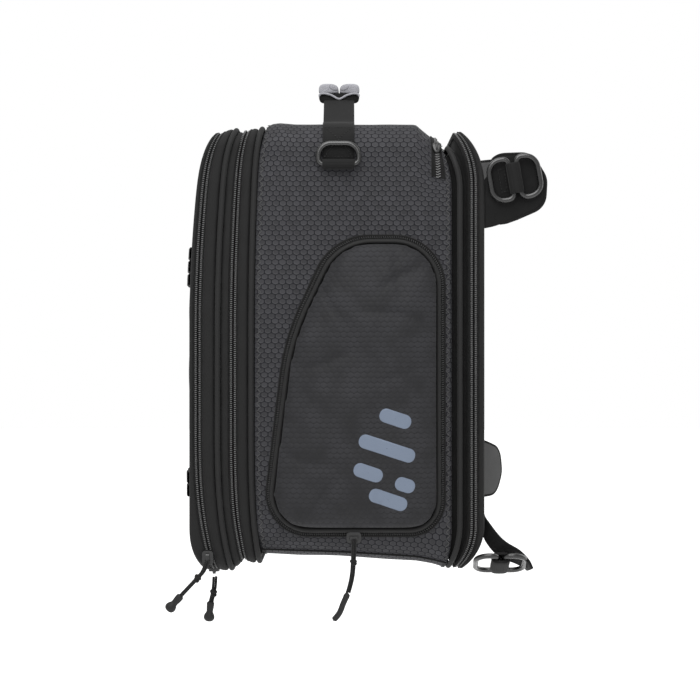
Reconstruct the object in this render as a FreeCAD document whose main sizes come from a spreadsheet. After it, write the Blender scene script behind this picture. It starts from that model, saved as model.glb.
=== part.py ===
import FreeCAD, Part
import math
import os
import re
import Sketcher

# Motorcycle tail bag that zips off its strap base.  Millimetres, +Z up.
# The origin is the centre of the base pad's flat outer face, and +X is that face's outward normal, so the
# bag stands out along -X.  -Y is the side of the bag with the left-hand pocket.
V = FreeCAD.Vector
document = FreeCAD.newDocument("tail_bag")
sheet = document.addObject("Spreadsheet::Sheet", "sizes")

SIZES = [
    # the three outlines across the bag, seen along X
    ("front_half", 148, "half width of the front section and lid"),
    ("front_top", 171, "top edge of the front section"),
    ("front_bottom", -173, "bottom edge of the front section"),
    ("front_corner", 14, "corner radius of the front section"),
    ("main_half", 150, "half width of the main shell"),
    ("main_top", 176, "top edge of the main shell"),
    ("main_bottom", -167, "bottom edge of the main shell"),
    ("main_corner", 24, "corner radius of the main shell"),
    ("base_half", 149, "half width of the strap base"),
    ("base_top", 171, "top edge of the strap base"),
    ("base_bottom", -172, "bottom edge of the strap base"),
    ("base_corner", 20, "corner radius of the strap base"),
    # where each layer ends along X, at mid height
    ("lid_face", -233.2, "outer face of the lid"),
    ("lid_zip_front", -230, "front edge of the lid's zip tape"),
    ("lid_zip", -226.6, "plane where the lid's zip parts"),
    ("band_front", -223.2, "front edge of the front band"),
    ("lid_piping_front", -213, "front edge of the piping round the front band"),
    ("lid_piping_rear", -209, "rear edge of that piping"),
    ("band_rear", -202.3, "rear edge of the front band"),
    ("growth_zip", -198.9, "plane where the expansion zip parts"),
    ("growth_zip_rear", -186.5, "rear edge of the expansion zip's facing"),
    ("shell_front", -182.2, "front edge of the main shell"),
    ("shell_rear", -27, "rear edge of the main shell"),
    ("recess_rear", -14.3, "rear edge of the recessed gusset"),
    ("base_zip", -10, "plane where the base zip parts"),
    ("panel_front", -5.5, "inner face of the base panel"),
    ("panel_rear", -2, "outer face of the base panel"),
    ("zip_gap", 0.4, "gap between the two halves of a zip"),
    # how the stuffed ends curl in
    ("front_neck", -170, "no curl at the front behind this place"),
    ("front_knee_top", 122, "the front starts to curl above this height"),
    ("front_knee_bottom", -140, "the front starts to curl below this height"),
    ("front_curl_top", 0.27, "front curl at the top, per unit from the neck"),
    ("front_curl_bottom", 0.2, "front curl at the bottom, per unit from the neck"),
    ("rear_neck", -45, "no curl at the rear in front of this place"),
    ("rear_knee_top", 138, "the rear starts to curl above this height"),
    ("rear_knee_bottom", -145, "the rear starts to curl below this height"),
    ("rear_curl_top", 0.36, "rear curl at the top, per unit from the neck"),
    ("rear_curl_bottom", 0.28, "rear curl at the bottom, per unit from the neck"),
    ("curl_height", 170, "height at which the curls are measured"),
    ("slab_height", 190, "height that covers every layer"),
    ("curl_bend", 70, "radius where a layer starts to curl"),
    # walls and boards
    ("wall", 5, "padded wall"),
    ("thin_wall", 3, "zip tape and facing"),
    ("cord_proud", 1.8, "how far the piping stands proud"),
    ("board", 2, "stiffener board"),
    ("floor_front", -40, "inner face of the main shell's floor"),
    ("floor_rear", -34, "outer face of the main shell's floor"),
    ("pad_half", 115, "half width of the base pad"),
    ("pad_tall", 108, "half height of the base pad"),
    # webbing, rings and wings
    ("webbing", 25, "webbing width"),
    ("webbing_thick", 1.5, "webbing thickness"),
    ("ring_wire", 4.2, "D-ring wire diameter"),
    ("ring_long", 36, "D-ring outer width along its bar"),
    ("ring_deep", 20.5, "D-ring outer depth"),
    ("ring_bore", 5.4, "channel in a webbing loop for a ring's bar"),
    ("wing_thick", 3, "wing thickness"),
    ("loop_deep", 8, "how far a wing's webbing loop stands out"),
    ("wing_tail", 38, "horizontal reach of the drooping wing"),
    ("wing_drop", 23, "drop of the drooping wing"),
    ("wing_wide", 28, "width of the drooping wing"),
    ("strap_x", -116, "centre line of the handle strap"),
    ("handle_reach", 112, "half the handle's span"),
    ("handle_rise", 30, "rise of the handle above its anchors"),
    ("wrap_reach", 55, "half length of the grip wrap"),
    # side pockets
    ("rim_rear", -32.5, "rear edge of the pocket rim"),
    ("rim_top", 90, "top edge of the pocket rim"),
    ("rim_bottom", -146, "bottom edge of the pocket rim"),
    ("rim_slope_x", -121, "front top corner of the pocket rim"),
    ("rim_bend_x", -158.5, "bend of the pocket rim's front edge"),
    ("rim_bend_z", 8, "height of that bend"),
    ("rim_front", -177, "front bottom corner of the pocket rim"),
    ("rim_thick", 3.7, "pocket rim thickness"),
    ("rim_wide", 7, "pocket rim width"),
    ("cover_inset", 4.2, "cover edge inside the rim's edge"),
    ("cover_deep", 24, "depth of the pocket cover"),
    ("cover_wall", 5, "side wall of the pocket cover"),
    ("cover_face", 6, "padded face of the pocket cover"),
    ("cover_slope", 7, "slope round the cover's face"),
    # zip sliders and pulls
    ("slider_long", 11.5, "slider length along its zip"),
    ("slider_wide", 8.6, "slider width"),
    ("slider_thick", 2.4, "slider body thickness"),
    ("bridge_long", 7, "slider bridge length"),
    ("bridge_wide", 2.4, "slider bridge width"),
    ("bridge_rise", 2.2, "slider bridge height"),
    ("pull_cord", 2, "pull cord diameter"),
    ("clearance", 0.3, "running clearance of a slider over its zip"),
]
for row, (alias, number, meaning) in enumerate(SIZES, 1):
    sheet.set(f"A{row}", alias)
    sheet.set(f"B{row}", str(number))
    sheet.set(f"C{row}", meaning)
    sheet.setAlias(f"B{row}", alias)
document.recompute()
ALIASES = {alias for alias, number, meaning in SIZES}
CORD_RADII = []


def size(expression):
    """The value of an expression written with the sheet's aliases."""
    return float(sheet.evalExpression(str(expression)))


def bound(expression):
    """The same expression as another object of the document writes it."""
    words = re.split(r"([a-z_]+)", str(expression))
    return "".join("sizes." + word if word in ALIASES else word for word in words)


def new_body(label):
    body = document.addObject("PartDesign::Body", label)
    body.Label = label
    return body


def new_sketch(body, plane, offset=0, lean=0):
    """A sketch on one of the body's origin planes, leaned about local Y and then moved along its normal."""
    sketch = body.newObject("Sketcher::SketchObject", "outline")
    support = next(f for f in body.Origin.OriginFeatures if f.Role == plane + "_Plane")
    sketch.AttachmentSupport = [(support, "")]
    sketch.MapMode = "FlatFace"
    turn = FreeCAD.Rotation(V(0, 1, 0), lean)
    sketch.AttachmentOffset = FreeCAD.Placement(turn.multVec(V(0, 0, size(offset))), turn)
    sketch.setExpression("AttachmentOffset.Base.x", f"({bound(offset)}) * sin({lean})")
    sketch.setExpression("AttachmentOffset.Base.z", f"({bound(offset)}) * cos({lean})")
    return sketch


def tangent_points(corner, before, after, radius):
    """Where a round corner leaves its two straight edges, and the middle of its arc."""
    towards, away = (before - corner).normalize(), (after - corner).normalize()
    half_angle = towards.getAngle(away) / 2
    reach = radius / math.tan(half_angle)
    middle = (towards + away).normalize() * (radius / math.sin(half_angle) - radius)
    return corner + towards * reach, corner + middle, corner + away * reach


def nearest_end(sketch, index, point):
    gaps = {end: (sketch.getPoint(index, end) - point).Length for end in (1, 2)}
    return min(gaps, key=gaps.get)


def fix_coordinate(sketch, kind, index, expression):
    number = sketch.addConstraint(Sketcher.Constraint(kind, -1, 1, index, 1, size(expression)))
    sketch.setExpression(f"Constraints[{number}]", bound(expression))


def draw_outline(sketch, corners):
    """A closed outline through corners of (across, up, radius); a radius of 0 is a sharp corner."""
    places = [V(size(across), size(up), 0) for across, up, radius in corners]
    count = len(corners)
    joints, markers = [], []
    for i, (across, up, radius) in enumerate(corners):
        marker = sketch.addGeometry(Part.Point(places[i]), True)
        fix_coordinate(sketch, "DistanceX", marker, across)
        fix_coordinate(sketch, "DistanceY", marker, up)
        markers.append(marker)
        if size(radius) > 0:
            joints.append(tangent_points(places[i], places[i - 1], places[(i + 1) % count], size(radius)))
        else:
            joints.append((places[i], places[i], places[i]))
    lines = []
    for i in range(count):
        side = Part.LineSegment(joints[i][2], joints[(i + 1) % count][0])
        lines.append(sketch.addGeometry(side))
    for i, (across, up, radius) in enumerate(corners):
        arriving, leaving = lines[i - 1], lines[i]
        if size(radius) > 0:
            arc = sketch.addGeometry(Part.Arc(*joints[i]))
            for line, end, place in ((arriving, 2, joints[i][0]), (leaving, 1, joints[i][2])):
                sketch.addConstraint(Sketcher.Constraint("PointOnObject", markers[i], 1, line))
                arc_end = nearest_end(sketch, arc, place)
                sketch.addConstraint(Sketcher.Constraint("Tangent", line, end, arc, arc_end))
            number = sketch.addConstraint(Sketcher.Constraint("Radius", arc, size(radius)))
            sketch.setExpression(f"Constraints[{number}]", bound(radius))
        else:
            sketch.addConstraint(Sketcher.Constraint("Coincident", arriving, 2, markers[i], 1))
            sketch.addConstraint(Sketcher.Constraint("Coincident", leaving, 1, markers[i], 1))


def draw_circle(sketch, across, up, diameter):
    place = V(size(across), size(up), 0)
    circle = sketch.addGeometry(Part.Circle(place, V(0, 0, 1), size(diameter) / 2))
    for kind, expression in (("DistanceX", across), ("DistanceY", up)):
        number = sketch.addConstraint(Sketcher.Constraint(kind, -1, 1, circle, 3, size(expression)))
        sketch.setExpression(f"Constraints[{number}]", bound(expression))
    number = sketch.addConstraint(Sketcher.Constraint("Diameter", circle, size(diameter)))
    sketch.setExpression(f"Constraints[{number}]", bound(diameter))


def extrude(body, kind, sketch, length, reverse=False, both=False):
    """A Pad or a Pocket; a Pocket must take something away and a Pad must add something."""
    before = body.Shape.Volume if body.Tip else 0
    feature = body.newObject("PartDesign::" + kind, kind.lower())
    feature.Profile = sketch
    feature.Type = "Length"
    feature.Length = size(length)
    feature.setExpression("Length", bound(length))
    feature.Reversed = reverse
    feature.SideType = "Symmetric" if both else "One side"
    document.recompute()
    change = body.Shape.Volume - before
    if (change <= 0) if kind == "Pad" else (change >= 0):
        raise RuntimeError(f"{body.Label}: {kind} changes nothing")
    return feature


def box_outline(half, bottom, top, corner):
    """A rounded rectangle, as corners for draw_outline."""
    left = f"-({half})"
    return [(left, bottom, corner), (half, bottom, corner), (half, top, corner), (left, top, corner)]


def grown(outline, growth):
    """One of the three outlines across the bag, moved out by growth."""
    half = f"{outline}_half + {growth}"
    bottom, top = f"{outline}_bottom - ({growth})", f"{outline}_top + {growth}"
    return box_outline(half, bottom, top, f"{outline}_corner + {growth}")


def curl(place, end):
    """How far a layer boundary moves along X at the slab's top or bottom."""
    side = "front" if size(place) < size("front_neck") else "rear" if size(place) > size("rear_neck") else None
    if side is None:
        return "0"
    knee = f"{side}_knee_{end}"
    tall = f"(slab_height - {knee}) / (curl_height - {knee})" if end == "top" else \
        f"(slab_height + {knee}) / (curl_height + {knee})"
    return f"(({side}_neck - ({place})) * {side}_curl_{end} * {tall})"


def trim_to_layer(body, front, rear):
    """Cuts a body to the curled layer between two places along X."""
    for place, outward in ((front, -1), (rear, 1)):
        side = "front" if size(place) < size("front_neck") else "rear"
        far = f"({place}) + {outward * 60}"
        bend = "curl_bend" if curl(place, "top") != "0" else "0"
        sketch = new_sketch(body, "XZ")
        draw_outline(sketch, [
            (far, "-slab_height", 0),
            (f"({place}) + {curl(place, 'bottom')}", "-slab_height", 0),
            (place, f"{side}_knee_bottom", bend),
            (place, f"{side}_knee_top", bend),
            (f"({place}) + {curl(place, 'top')}", "slab_height", 0),
            (far, "slab_height", 0),
        ])
        extrude(body, "Pocket", sketch, "4 * main_half", both=True)


def layer(label, outline, front, rear, inner=None, proud=0):
    """A slice of the bag across X; inner is how far inside the outline its hollow starts."""
    body = new_body(label)
    sketch = new_sketch(body, "YZ", f"({front}) - 22")
    draw_outline(sketch, grown(outline, proud))
    if inner is not None:
        draw_outline(sketch, grown(outline, f"(-({inner}))"))
    extrude(body, "Pad", sketch, f"({rear}) - ({front}) + 44")
    trim_to_layer(body, front, rear)
    return body


def plate(label, half, bottom, top, front, rear, corner=10):
    """A flat board across X."""
    body = new_body(label)
    sketch = new_sketch(body, "YZ", front)
    draw_outline(sketch, box_outline(half, bottom, top, corner))
    extrude(body, "Pad", sketch, f"({rear}) - ({front})")
    return body


# ---------------------------------------------------------------- strap base
def make_base():
    layer("base_panel", "base", "panel_front", "panel_rear")
    plate("base_pad", "pad_half", "-pad_tall", "pad_tall", "panel_rear", "0", 22)
    plate("base_board", "base_half - 20", "base_bottom + 50", "base_top - 58", "panel_front - board - 0.2",
          "panel_front - 0.2", 20)
    layer("base_zip_lower", "base", "base_zip + zip_gap / 2", "panel_front", "thin_wall")


# ---------------------------------------------------------------- zip-off bag
def make_shell():
    body = new_body("main_shell")
    sketch = new_sketch(body, "YZ", "shell_front")
    draw_outline(sketch, grown("main", 0))
    extrude(body, "Pad", sketch, "shell_rear - shell_front")
    hollow = new_sketch(body, "YZ", "floor_front")
    draw_outline(hollow, grown("main", "(-wall)"))
    extrude(body, "Pocket", hollow, "floor_front - shell_front + 10")
    recess = new_sketch(body, "YZ", "floor_rear")
    draw_outline(recess, grown("main", "(-wall)"))
    extrude(body, "Pocket", recess, "shell_rear - floor_rear + 10", reverse=True)
    trim_to_layer(body, "shell_front", "shell_rear")
    return body


def make_lining():
    """Thin fabric tray inside the main shell, inside its boards."""
    body = new_body("lining")
    sketch = new_sketch(body, "YZ", "shell_front + 6")
    draw_outline(sketch, grown("main", "(-wall - board - 0.4)"))
    extrude(body, "Pad", sketch, "floor_front - shell_front - 6.2")
    hollow = new_sketch(body, "YZ", "floor_front - 1.7")
    draw_outline(hollow, grown("main", "(-wall - board - 1.9)"))
    extrude(body, "Pocket", hollow, "floor_front - shell_front + 10")
    return body


def make_side_boards():
    """Two stiffeners between the side walls and the lining."""
    body = new_body("side_boards")
    sketch = new_sketch(body, "XZ", 0)
    inner_face = "main_half - wall - board - 0.1"
    draw_outline(sketch, [("shell_front + 12", "-135", 12), ("floor_front - 3", "-135", 12),
                          ("floor_front - 3", "145", 12), ("shell_front + 12", "145", 12)])
    extrude(body, "Pad", sketch, "2 * (main_half - wall - 0.1)", both=True)
    middle = new_sketch(body, "XZ", 0)
    draw_outline(middle, [("shell_front", "-150", 0), ("floor_front", "-150", 0),
                          ("floor_front", "160", 0), ("shell_front", "160", 0)])
    extrude(body, "Pocket", middle, f"2 * ({inner_face})", both=True)
    return body


def make_bag_layers():
    make_shell()
    make_lining()
    make_side_boards()
    plate("bottom_board", "main_half - 30", "main_bottom + 35", "main_top - 45", "floor_rear",
          "floor_rear + board", 20)
    layer("front_piping", "front", "growth_zip_rear", "shell_front", "wall", "cord_proud")
    layer("expansion_zip_rear", "front", "growth_zip + zip_gap / 2", "growth_zip_rear", "thin_wall")
    layer("expansion_gusset", "front", "band_front + 8", "shell_front - 0.2", "wall + 2.5", "-(wall + 0.8)")
    layer("rear_gusset", "base", "shell_rear", "recess_rear", "wall + 1.5", "-3")
    layer("rear_piping", "base", "shell_rear + 4", "recess_rear - 4.5", "3", "cord_proud")
    layer("base_zip_upper", "base", "recess_rear", "base_zip - zip_gap / 2", "wall + 1")


def over_the_top(label, front, rear, low, inner_reach, thick):
    """A strip that lies on the main shell's side and round its top corner; it ends inner_reach from the middle
    or, where that is None, runs right over to the other side."""
    body = new_body(label)
    side, top = f"main_half + 0.1 + {thick}", f"main_top + 0.1 + {thick}"
    corner, inner_corner = f"main_corner + 0.1 + {thick}", "main_corner + 0.1"
    sketch = new_sketch(body, "YZ", front)
    if inner_reach is None:
        draw_outline(sketch, [
            (f"-({side})", low, 0), (f"-({side})", top, corner), (side, top, corner), (side, low, 0),
            ("main_half + 0.1", low, 0), ("main_half + 0.1", "main_top + 0.1", inner_corner),
            ("-(main_half + 0.1)", "main_top + 0.1", inner_corner), ("-(main_half + 0.1)", low, 0)])
    else:
        draw_outline(sketch, [
            (f"-({side})", low, 0), (f"-({side})", top, corner), (f"-({inner_reach})", top, 0),
            (f"-({inner_reach})", "main_top + 0.1", 0), ("-(main_half + 0.1)", "main_top + 0.1", inner_corner),
            ("-(main_half + 0.1)", low, 0)])
    extrude(body, "Pad", sketch, f"({rear}) - ({front})")
    return body


RING_BAR_Y, RING_BAR_Z = 155.8, 145.2


def make_strap_anchor(label, side):
    """Webbing that climbs the side and the top corner, with the loop that holds a D-ring's bar."""
    body = over_the_top(label, "strap_x - webbing / 2", "strap_x + webbing / 2", 136, "handle_reach + 2",
                        "webbing_thick")
    loop = new_sketch(body, "YZ", "strap_x - webbing / 2")
    outer = RING_BAR_Y + 3.6
    draw_outline(loop, [("-(main_half + 0.8)", RING_BAR_Z - 4.2, 0), (-outer, RING_BAR_Z - 4.2, 3.4),
                        (-outer, RING_BAR_Z + 4.2, 3.4), ("-(main_half + 0.8)", RING_BAR_Z + 4.2, 0)])
    extrude(body, "Pad", loop, "webbing")
    bore = new_sketch(body, "YZ", "strap_x - webbing / 2 - 1")
    draw_circle(bore, -RING_BAR_Y, RING_BAR_Z, "ring_bore")
    extrude(body, "Pocket", bore, "webbing + 2", reverse=True)
    if side > 0:
        body.Placement = FreeCAD.Placement(V(2 * size("strap_x"), 0, 0), FreeCAD.Rotation(V(0, 0, 1), 180))
    return body


# how far the handle's foot is cut back, out from the strap's middle: outer edge, inner edge, crown
TAPER_REACHES = (16, 1.5, 2)


def make_handle():
    """Webbing arch with narrow ends, and the foam grip wrapped round its middle."""
    strap = new_body("handle_strap")
    sketch = new_sketch(strap, "YZ", "strap_x - webbing / 2")
    foot = "main_top + 1.7"
    draw_outline(sketch, [
        ("-handle_reach", foot, 0), ("-(wrap_reach + 4)", f"{foot} + handle_rise", 30),
        ("wrap_reach + 4", f"{foot} + handle_rise", 30), ("handle_reach", foot, 0),
        ("handle_reach", f"{foot} + 2.2", 0), ("wrap_reach + 5", f"{foot} + handle_rise + 2.2", 32),
        ("-(wrap_reach + 5)", f"{foot} + handle_rise + 2.2", 32), ("-handle_reach", f"{foot} + 2.2", 0)])
    extrude(strap, "Pad", sketch, "webbing")
    for side in (-1, 1):
        taper = new_sketch(strap, "XZ")
        outer, inner, crown = (f"strap_x + {side * reach}" for reach in TAPER_REACHES)
        draw_outline(taper, [(outer, "main_top - 2", 0), (inner, "main_top - 2", 0), (crown, "main_top + 1", 0),
                             (outer, "main_top + 15", 0)])
        extrude(strap, "Pocket", taper, "4 * main_half", both=True)
    wrap = new_body("handle_wrap")
    grip = new_sketch(wrap, "XZ")
    slot_low, slot_high = f"{foot} + handle_rise - 0.2", f"{foot} + handle_rise + 2.4"
    draw_outline(grip, [("strap_x - 15", "main_top + 29", 2), ("strap_x + 15", "main_top + 29", 2),
                        ("strap_x + 16", "main_top + 44", 4), ("strap_x + 3", "main_top + 45", 2.5),
                        ("strap_x", "main_top + 40", 0), ("strap_x - 3", "main_top + 45", 2.5),
                        ("strap_x - 16", "main_top + 44", 4)])
    draw_outline(grip, [("strap_x - 12.8", slot_low, 0), ("strap_x + 12.8", slot_low, 0),
                        ("strap_x + 12.8", slot_high, 0), ("strap_x - 12.8", slot_high, 0)])
    extrude(wrap, "Pad", grip, "2 * wrap_reach", both=True)


# ---------------------------------------------------------------- side pockets
def rim_corners(inset):
    """The pocket's outline moved in by inset; its front edge leans back towards the top."""
    return [
        (f"rim_slope_x + {inset} * 0.9", f"rim_top - {inset}", f"22 - {inset}"),
        (f"rim_bend_x + {inset} * 1.06", "rim_bend_z", f"160 - {inset}"),
        (f"rim_front + {inset}", f"rim_bottom + {inset}", f"26 - {inset}"),
        (f"rim_rear - {inset}", f"rim_bottom + {inset}", f"14 - {inset}"),
        (f"rim_rear - {inset}", f"rim_top - {inset}", f"28 - {inset}"),
    ]


def make_pocket(name, side):
    """Rim sewn to the bag's side, and the padded cover that opens about its rear edge."""
    rim = new_body("pocket_rim_" + name)
    sketch = new_sketch(rim, "XZ", "main_half")
    draw_outline(sketch, rim_corners("0"))
    draw_outline(sketch, rim_corners("rim_wide"))
    extrude(rim, "Pad", sketch, "rim_thick")
    cover = new_body("pocket_cover_" + name)
    back = "main_half + rim_thick + 0.3"
    sketch = new_sketch(cover, "XZ", back)
    draw_outline(sketch, rim_corners("cover_inset"))
    extrude(cover, "Pad", sketch, "cover_deep - cover_slope")
    shoulder = new_sketch(cover, "XZ", f"{back} + cover_deep - cover_slope")
    draw_outline(shoulder, rim_corners("cover_inset"))
    face = new_sketch(cover, "XZ", f"{back} + cover_deep")
    draw_outline(face, rim_corners("(cover_inset + cover_slope)"))
    slope = cover.newObject("PartDesign::AdditiveLoft", "slope")
    slope.Profile = shoulder
    slope.Sections = [(face, [""])]
    slope.Ruled = True
    document.recompute()
    hollow = new_sketch(cover, "XZ", f"{back} + cover_deep - cover_face")
    draw_outline(hollow, rim_corners("(cover_inset + cover_wall)"))
    extrude(cover, "Pocket", hollow, "cover_deep - cover_face + 1")
    if side > 0:
        mirror_across(rim)
        mirror_across(cover)


def mirror_across(body):
    """Replaces a left-hand body by its mirror image, as a node of the same name."""
    label = body.Label
    body.Label = label + "_pattern"
    mirror = document.addObject("Part::Mirroring", label)
    mirror.Source = body
    mirror.Normal = V(0, 1, 0)
    mirror.Label = label
    document.recompute()
    return mirror


# ---------------------------------------------------------------- front section and lid
def make_front():
    layer("front_band", "front", "band_front", "band_rear", "wall")
    layer("lid_piping", "front", "lid_piping_front", "lid_piping_rear", "0", "cord_proud")
    layer("expansion_zip_front", "front", "band_rear", "growth_zip - zip_gap / 2", "thin_wall")
    layer("lid_zip_frame", "front", "lid_zip + zip_gap / 2", "band_front", "thin_wall")
    layer("lid_zip_lid", "front", "lid_zip_front", "lid_zip - zip_gap / 2", "thin_wall")
    layer("lid_shell", "front", "lid_face", "lid_zip_front")
    plate("lid_board", "front_half - 22", -118, 100, "lid_zip_front", "lid_zip_front + board", 16)


LASH_HEIGHTS = (76.5, 66.0, 55.5, -100.5, -111.0)


def make_lash_strips():
    """Rows of narrow webbing sewn across the lid's face."""
    body = new_body("lash_strips")
    sketch = new_sketch(body, "YZ", "lid_face")
    for height in LASH_HEIGHTS:
        draw_outline(sketch, box_outline("front_half - 6", height - 4.4, height + 4.4, 1))
    extrude(body, "Pad", sketch, "webbing_thick", reverse=True)
    return body


# ---------------------------------------------------------------- D-rings and wings
def ring(label):
    """A welded D-ring with its bar along local Z and its bow towards local +X."""
    body = new_body(label)
    path = new_sketch(body, "XZ")
    half, deep = "(ring_long - ring_wire) / 2", "ring_deep - ring_wire"
    draw_outline(path, [("0", "0", 0), ("0", half, 4), (deep, half, 9.5), (deep, f"-({half})", 9.5),
                        ("0", f"-({half})", 4)])
    section = new_sketch(body, "XY")
    draw_circle(section, "0", "0", "ring_wire")
    pipe = body.newObject("PartDesign::AdditivePipe", "wire")
    pipe.Profile = section
    pipe.Spine = (path, [])
    document.recompute()
    return body


def wing_loop(body, bars, low, high, lean):
    """The webbing loop on a wing's outer face, with a channel for each ring's bar."""
    sketch = new_sketch(body, "XY", low, lean)
    left, right = bars[0] - LOOP_MARGIN, bars[1] + LOOP_MARGIN
    draw_outline(sketch, [(left, "-wing_thick / 2", 0), (left, "-(wing_thick / 2 + loop_deep)", 3),
                          (right, "-(wing_thick / 2 + loop_deep)", 3), (right, "-wing_thick / 2", 0)])
    extrude(body, "Pad", sketch, high - low)
    for bar in bars:
        bore = new_sketch(body, "XY", low - 1, lean)
        draw_circle(bore, bar, WING_BAR_Y, "ring_bore")
        extrude(body, "Pocket", bore, high - low + 2, reverse=True)


LOOP_MARGIN = 4.4
WING_BAR_Y = -5.5
WING_BARS = (22.6, 28.6)
WING_LOOP_HEIGHT = 16
WING_PIVOT = (-0.3, 145.5)
WING_ROOT = 19
WING_CORNERS = [(22, -15, 14), (45, -10, 10), (50, 12, 8), (42, 33, 10), (14, 37, 10)]
DROOP_BARS = (8.4, 14.4)
DROOP_PIVOT = (-0.3, -131, -142)
DROOP_TILT = 26
RING_LEAN = 4


def rounded_root(body, low, high):
    """The turned root edge of a wing, a round of the wing's own thickness."""
    root = new_sketch(body, "XY", low)
    draw_circle(root, "0", "0", "wing_thick")
    extrude(body, "Pad", root, f"({high}) - ({low})")


def wing(name, side, height, tilt, swing=0):
    """A flat webbing wing on an upright root, its two D-rings and their loop.  side is -1 on the left and 1 on
    the right; tilt turns its blade up, and swing turns it out from the base."""
    body = new_body("wing_" + name)
    rounded_root(body, -WING_ROOT, WING_ROOT)
    lean = side * tilt
    turn = FreeCAD.Rotation(V(0, 1, 0), lean)
    blade = new_sketch(body, "XZ", "-wing_thick / 2")
    corners = [(0, side * WING_ROOT, 0)]
    for out, up, radius in WING_CORNERS:
        place = turn.multVec(V(out, 0, -side * up))
        corners.append((place.x, place.z, radius))
    corners.append((0, -side * WING_ROOT, 0))
    draw_outline(blade, corners)
    extrude(body, "Pad", blade, "wing_thick")
    middle = -side * WING_LOOP_HEIGHT
    wing_loop(body, WING_BARS, middle - size("webbing") / 2, middle + size("webbing") / 2, lean)
    upright = FreeCAD.Rotation(V(1, 0, 0), 180) if side > 0 else FreeCAD.Rotation()
    rotation = upright.multiply(FreeCAD.Rotation(V(0, 0, 1), -swing))
    body.Placement = FreeCAD.Placement(V(WING_PIVOT[0], side * WING_PIVOT[1], height), rotation)
    place_rings(body, name, WING_BARS, WING_BAR_Y, middle, turn)


def place_rings(body, name, bars, bar_y, middle, turn):
    """The inner ring's bow points back to the wing's root, and the outer ring's points away from it."""
    for which, bar, half_turn in (("inner", bars[0], 180), ("outer", bars[1], 0)):
        piece = ring(f"wing_ring_{name}_{which}")
        local = FreeCAD.Placement(V(bar, bar_y, middle), FreeCAD.Rotation(V(0, 0, 1), half_turn))
        piece.Placement = body.Placement.multiply(FreeCAD.Placement(V(0, 0, 0), turn)).multiply(local)


def drooping_wing(name):
    """The left lower wing hangs from its root and turns out flat below the base's edge."""
    body = new_body("wing_" + name)
    profile = new_sketch(body, "XY", "-wing_wide / 2")
    half = "wing_thick / 2"
    draw_outline(profile, [
        (f"-{half}", "0", 0), (f"-{half}", f"-(wing_drop + {half})", f"5 + {half}"),
        ("wing_tail", f"-(wing_drop + {half})", 0), ("wing_tail", f"-(wing_drop - {half})", 0),
        (half, f"-(wing_drop - {half})", f"5 - {half}"), (half, "0", 0)])
    extrude(body, "Pad", profile, "wing_wide")
    rounded_root(body, "-wing_wide / 2", "wing_wide / 2")
    loop = new_sketch(body, "XY", "-webbing / 2")
    under = f"-(wing_drop + {half})"
    left, right = DROOP_BARS[0] - LOOP_MARGIN, DROOP_BARS[1] + LOOP_MARGIN
    draw_outline(loop, [(left, under, 0), (left, f"{under} - loop_deep", 3), (right, f"{under} - loop_deep", 3),
                        (right, under, 0)])
    extrude(body, "Pad", loop, "webbing")
    for bar in DROOP_BARS:
        bore = new_sketch(body, "XY", "-webbing / 2 - 1")
        draw_circle(bore, bar, f"{under} - 4", "ring_bore")
        extrude(body, "Pocket", bore, "webbing + 2", reverse=True)
    # the drawing's Z runs along the bars, which lie across the bag with their far ends lower
    upright = FreeCAD.Rotation(V(1, 0, 0), 90)
    tilted = FreeCAD.Rotation(V(1, 0, 0), -DROOP_TILT).multiply(upright)
    body.Placement = FreeCAD.Placement(V(*DROOP_PIVOT), tilted)
    place_rings(body, name, DROOP_BARS, size(under) - 4, 0, FreeCAD.Rotation())


# ---------------------------------------------------------------- zip sliders and pulls
def slider(label, place, rotation):
    """A zip slider: along local Y, its back on local z = 0, its bridge above."""
    body = new_body(label)
    plan = new_sketch(body, "XY")
    draw_outline(plan, box_outline("slider_wide / 2", "-slider_long / 2", "slider_long / 2", 2.6))
    extrude(body, "Pad", plan, "slider_thick")
    bridge = new_sketch(body, "YZ", "-bridge_wide / 2")
    top, low = "slider_thick + bridge_rise", "slider_thick - 0.5"
    draw_outline(bridge, [("-bridge_long / 2", low, 0), ("bridge_long / 2", low, 0), ("bridge_long / 2", top, 1.6),
                          ("-bridge_long / 2", top, 1.6)])
    draw_outline(bridge, [("-bridge_long / 2 + 1.2", "slider_thick - 0.1", 0),
                          ("bridge_long / 2 - 1.2", "slider_thick - 0.1", 0),
                          ("bridge_long / 2 - 1.2", f"{top} - 0.9", 0.5),
                          ("-bridge_long / 2 + 1.2", f"{top} - 0.9", 0.5)])
    extrude(body, "Pad", bridge, "bridge_wide")
    body.Placement = FreeCAD.Placement(V(*place), rotation)
    return body


def facing(normal, along):
    """The rotation that turns local +Z to normal and local +Y to along."""
    up, run = V(*normal).normalize(), V(*along).normalize()
    return FreeCAD.Rotation(run.cross(up), run, up, "ZXY")


def tube(route, diameter, label):
    """A cord's tube: straight runs joined by tangent arcs, each as large as its two runs allow."""
    points = [V(*point) for point in route]
    edges, start = [], points[0]
    for before, corner, after in zip(points, points[1:], points[2:]):
        half_angle = (before - corner).getAngle(after - corner) / 2
        shorter = min((before - corner).Length, (after - corner).Length)
        radius = 0.45 * shorter * math.tan(half_angle)
        CORD_RADII.append((label, radius / diameter))
        first, middle, last = tangent_points(corner, before, after, radius)
        edges += [Part.LineSegment(start, first).toShape(), Part.Arc(first, middle, last).toShape()]
        start = last
    edges.append(Part.LineSegment(start, points[-1]).toShape())
    path = Part.Wire(edges)
    section = Part.Wire(Part.Circle(points[0], points[1] - points[0], diameter / 2).toShape())
    solid = path.makePipeShell([section], True, False)
    expected = math.pi * diameter ** 2 / 4 * path.Length
    if abs(solid.Volume / expected - 1) > 0.01:
        raise RuntimeError(f"{label}: cord volume {solid.Volume:.1f}, expected {expected:.1f}")
    return solid


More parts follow.
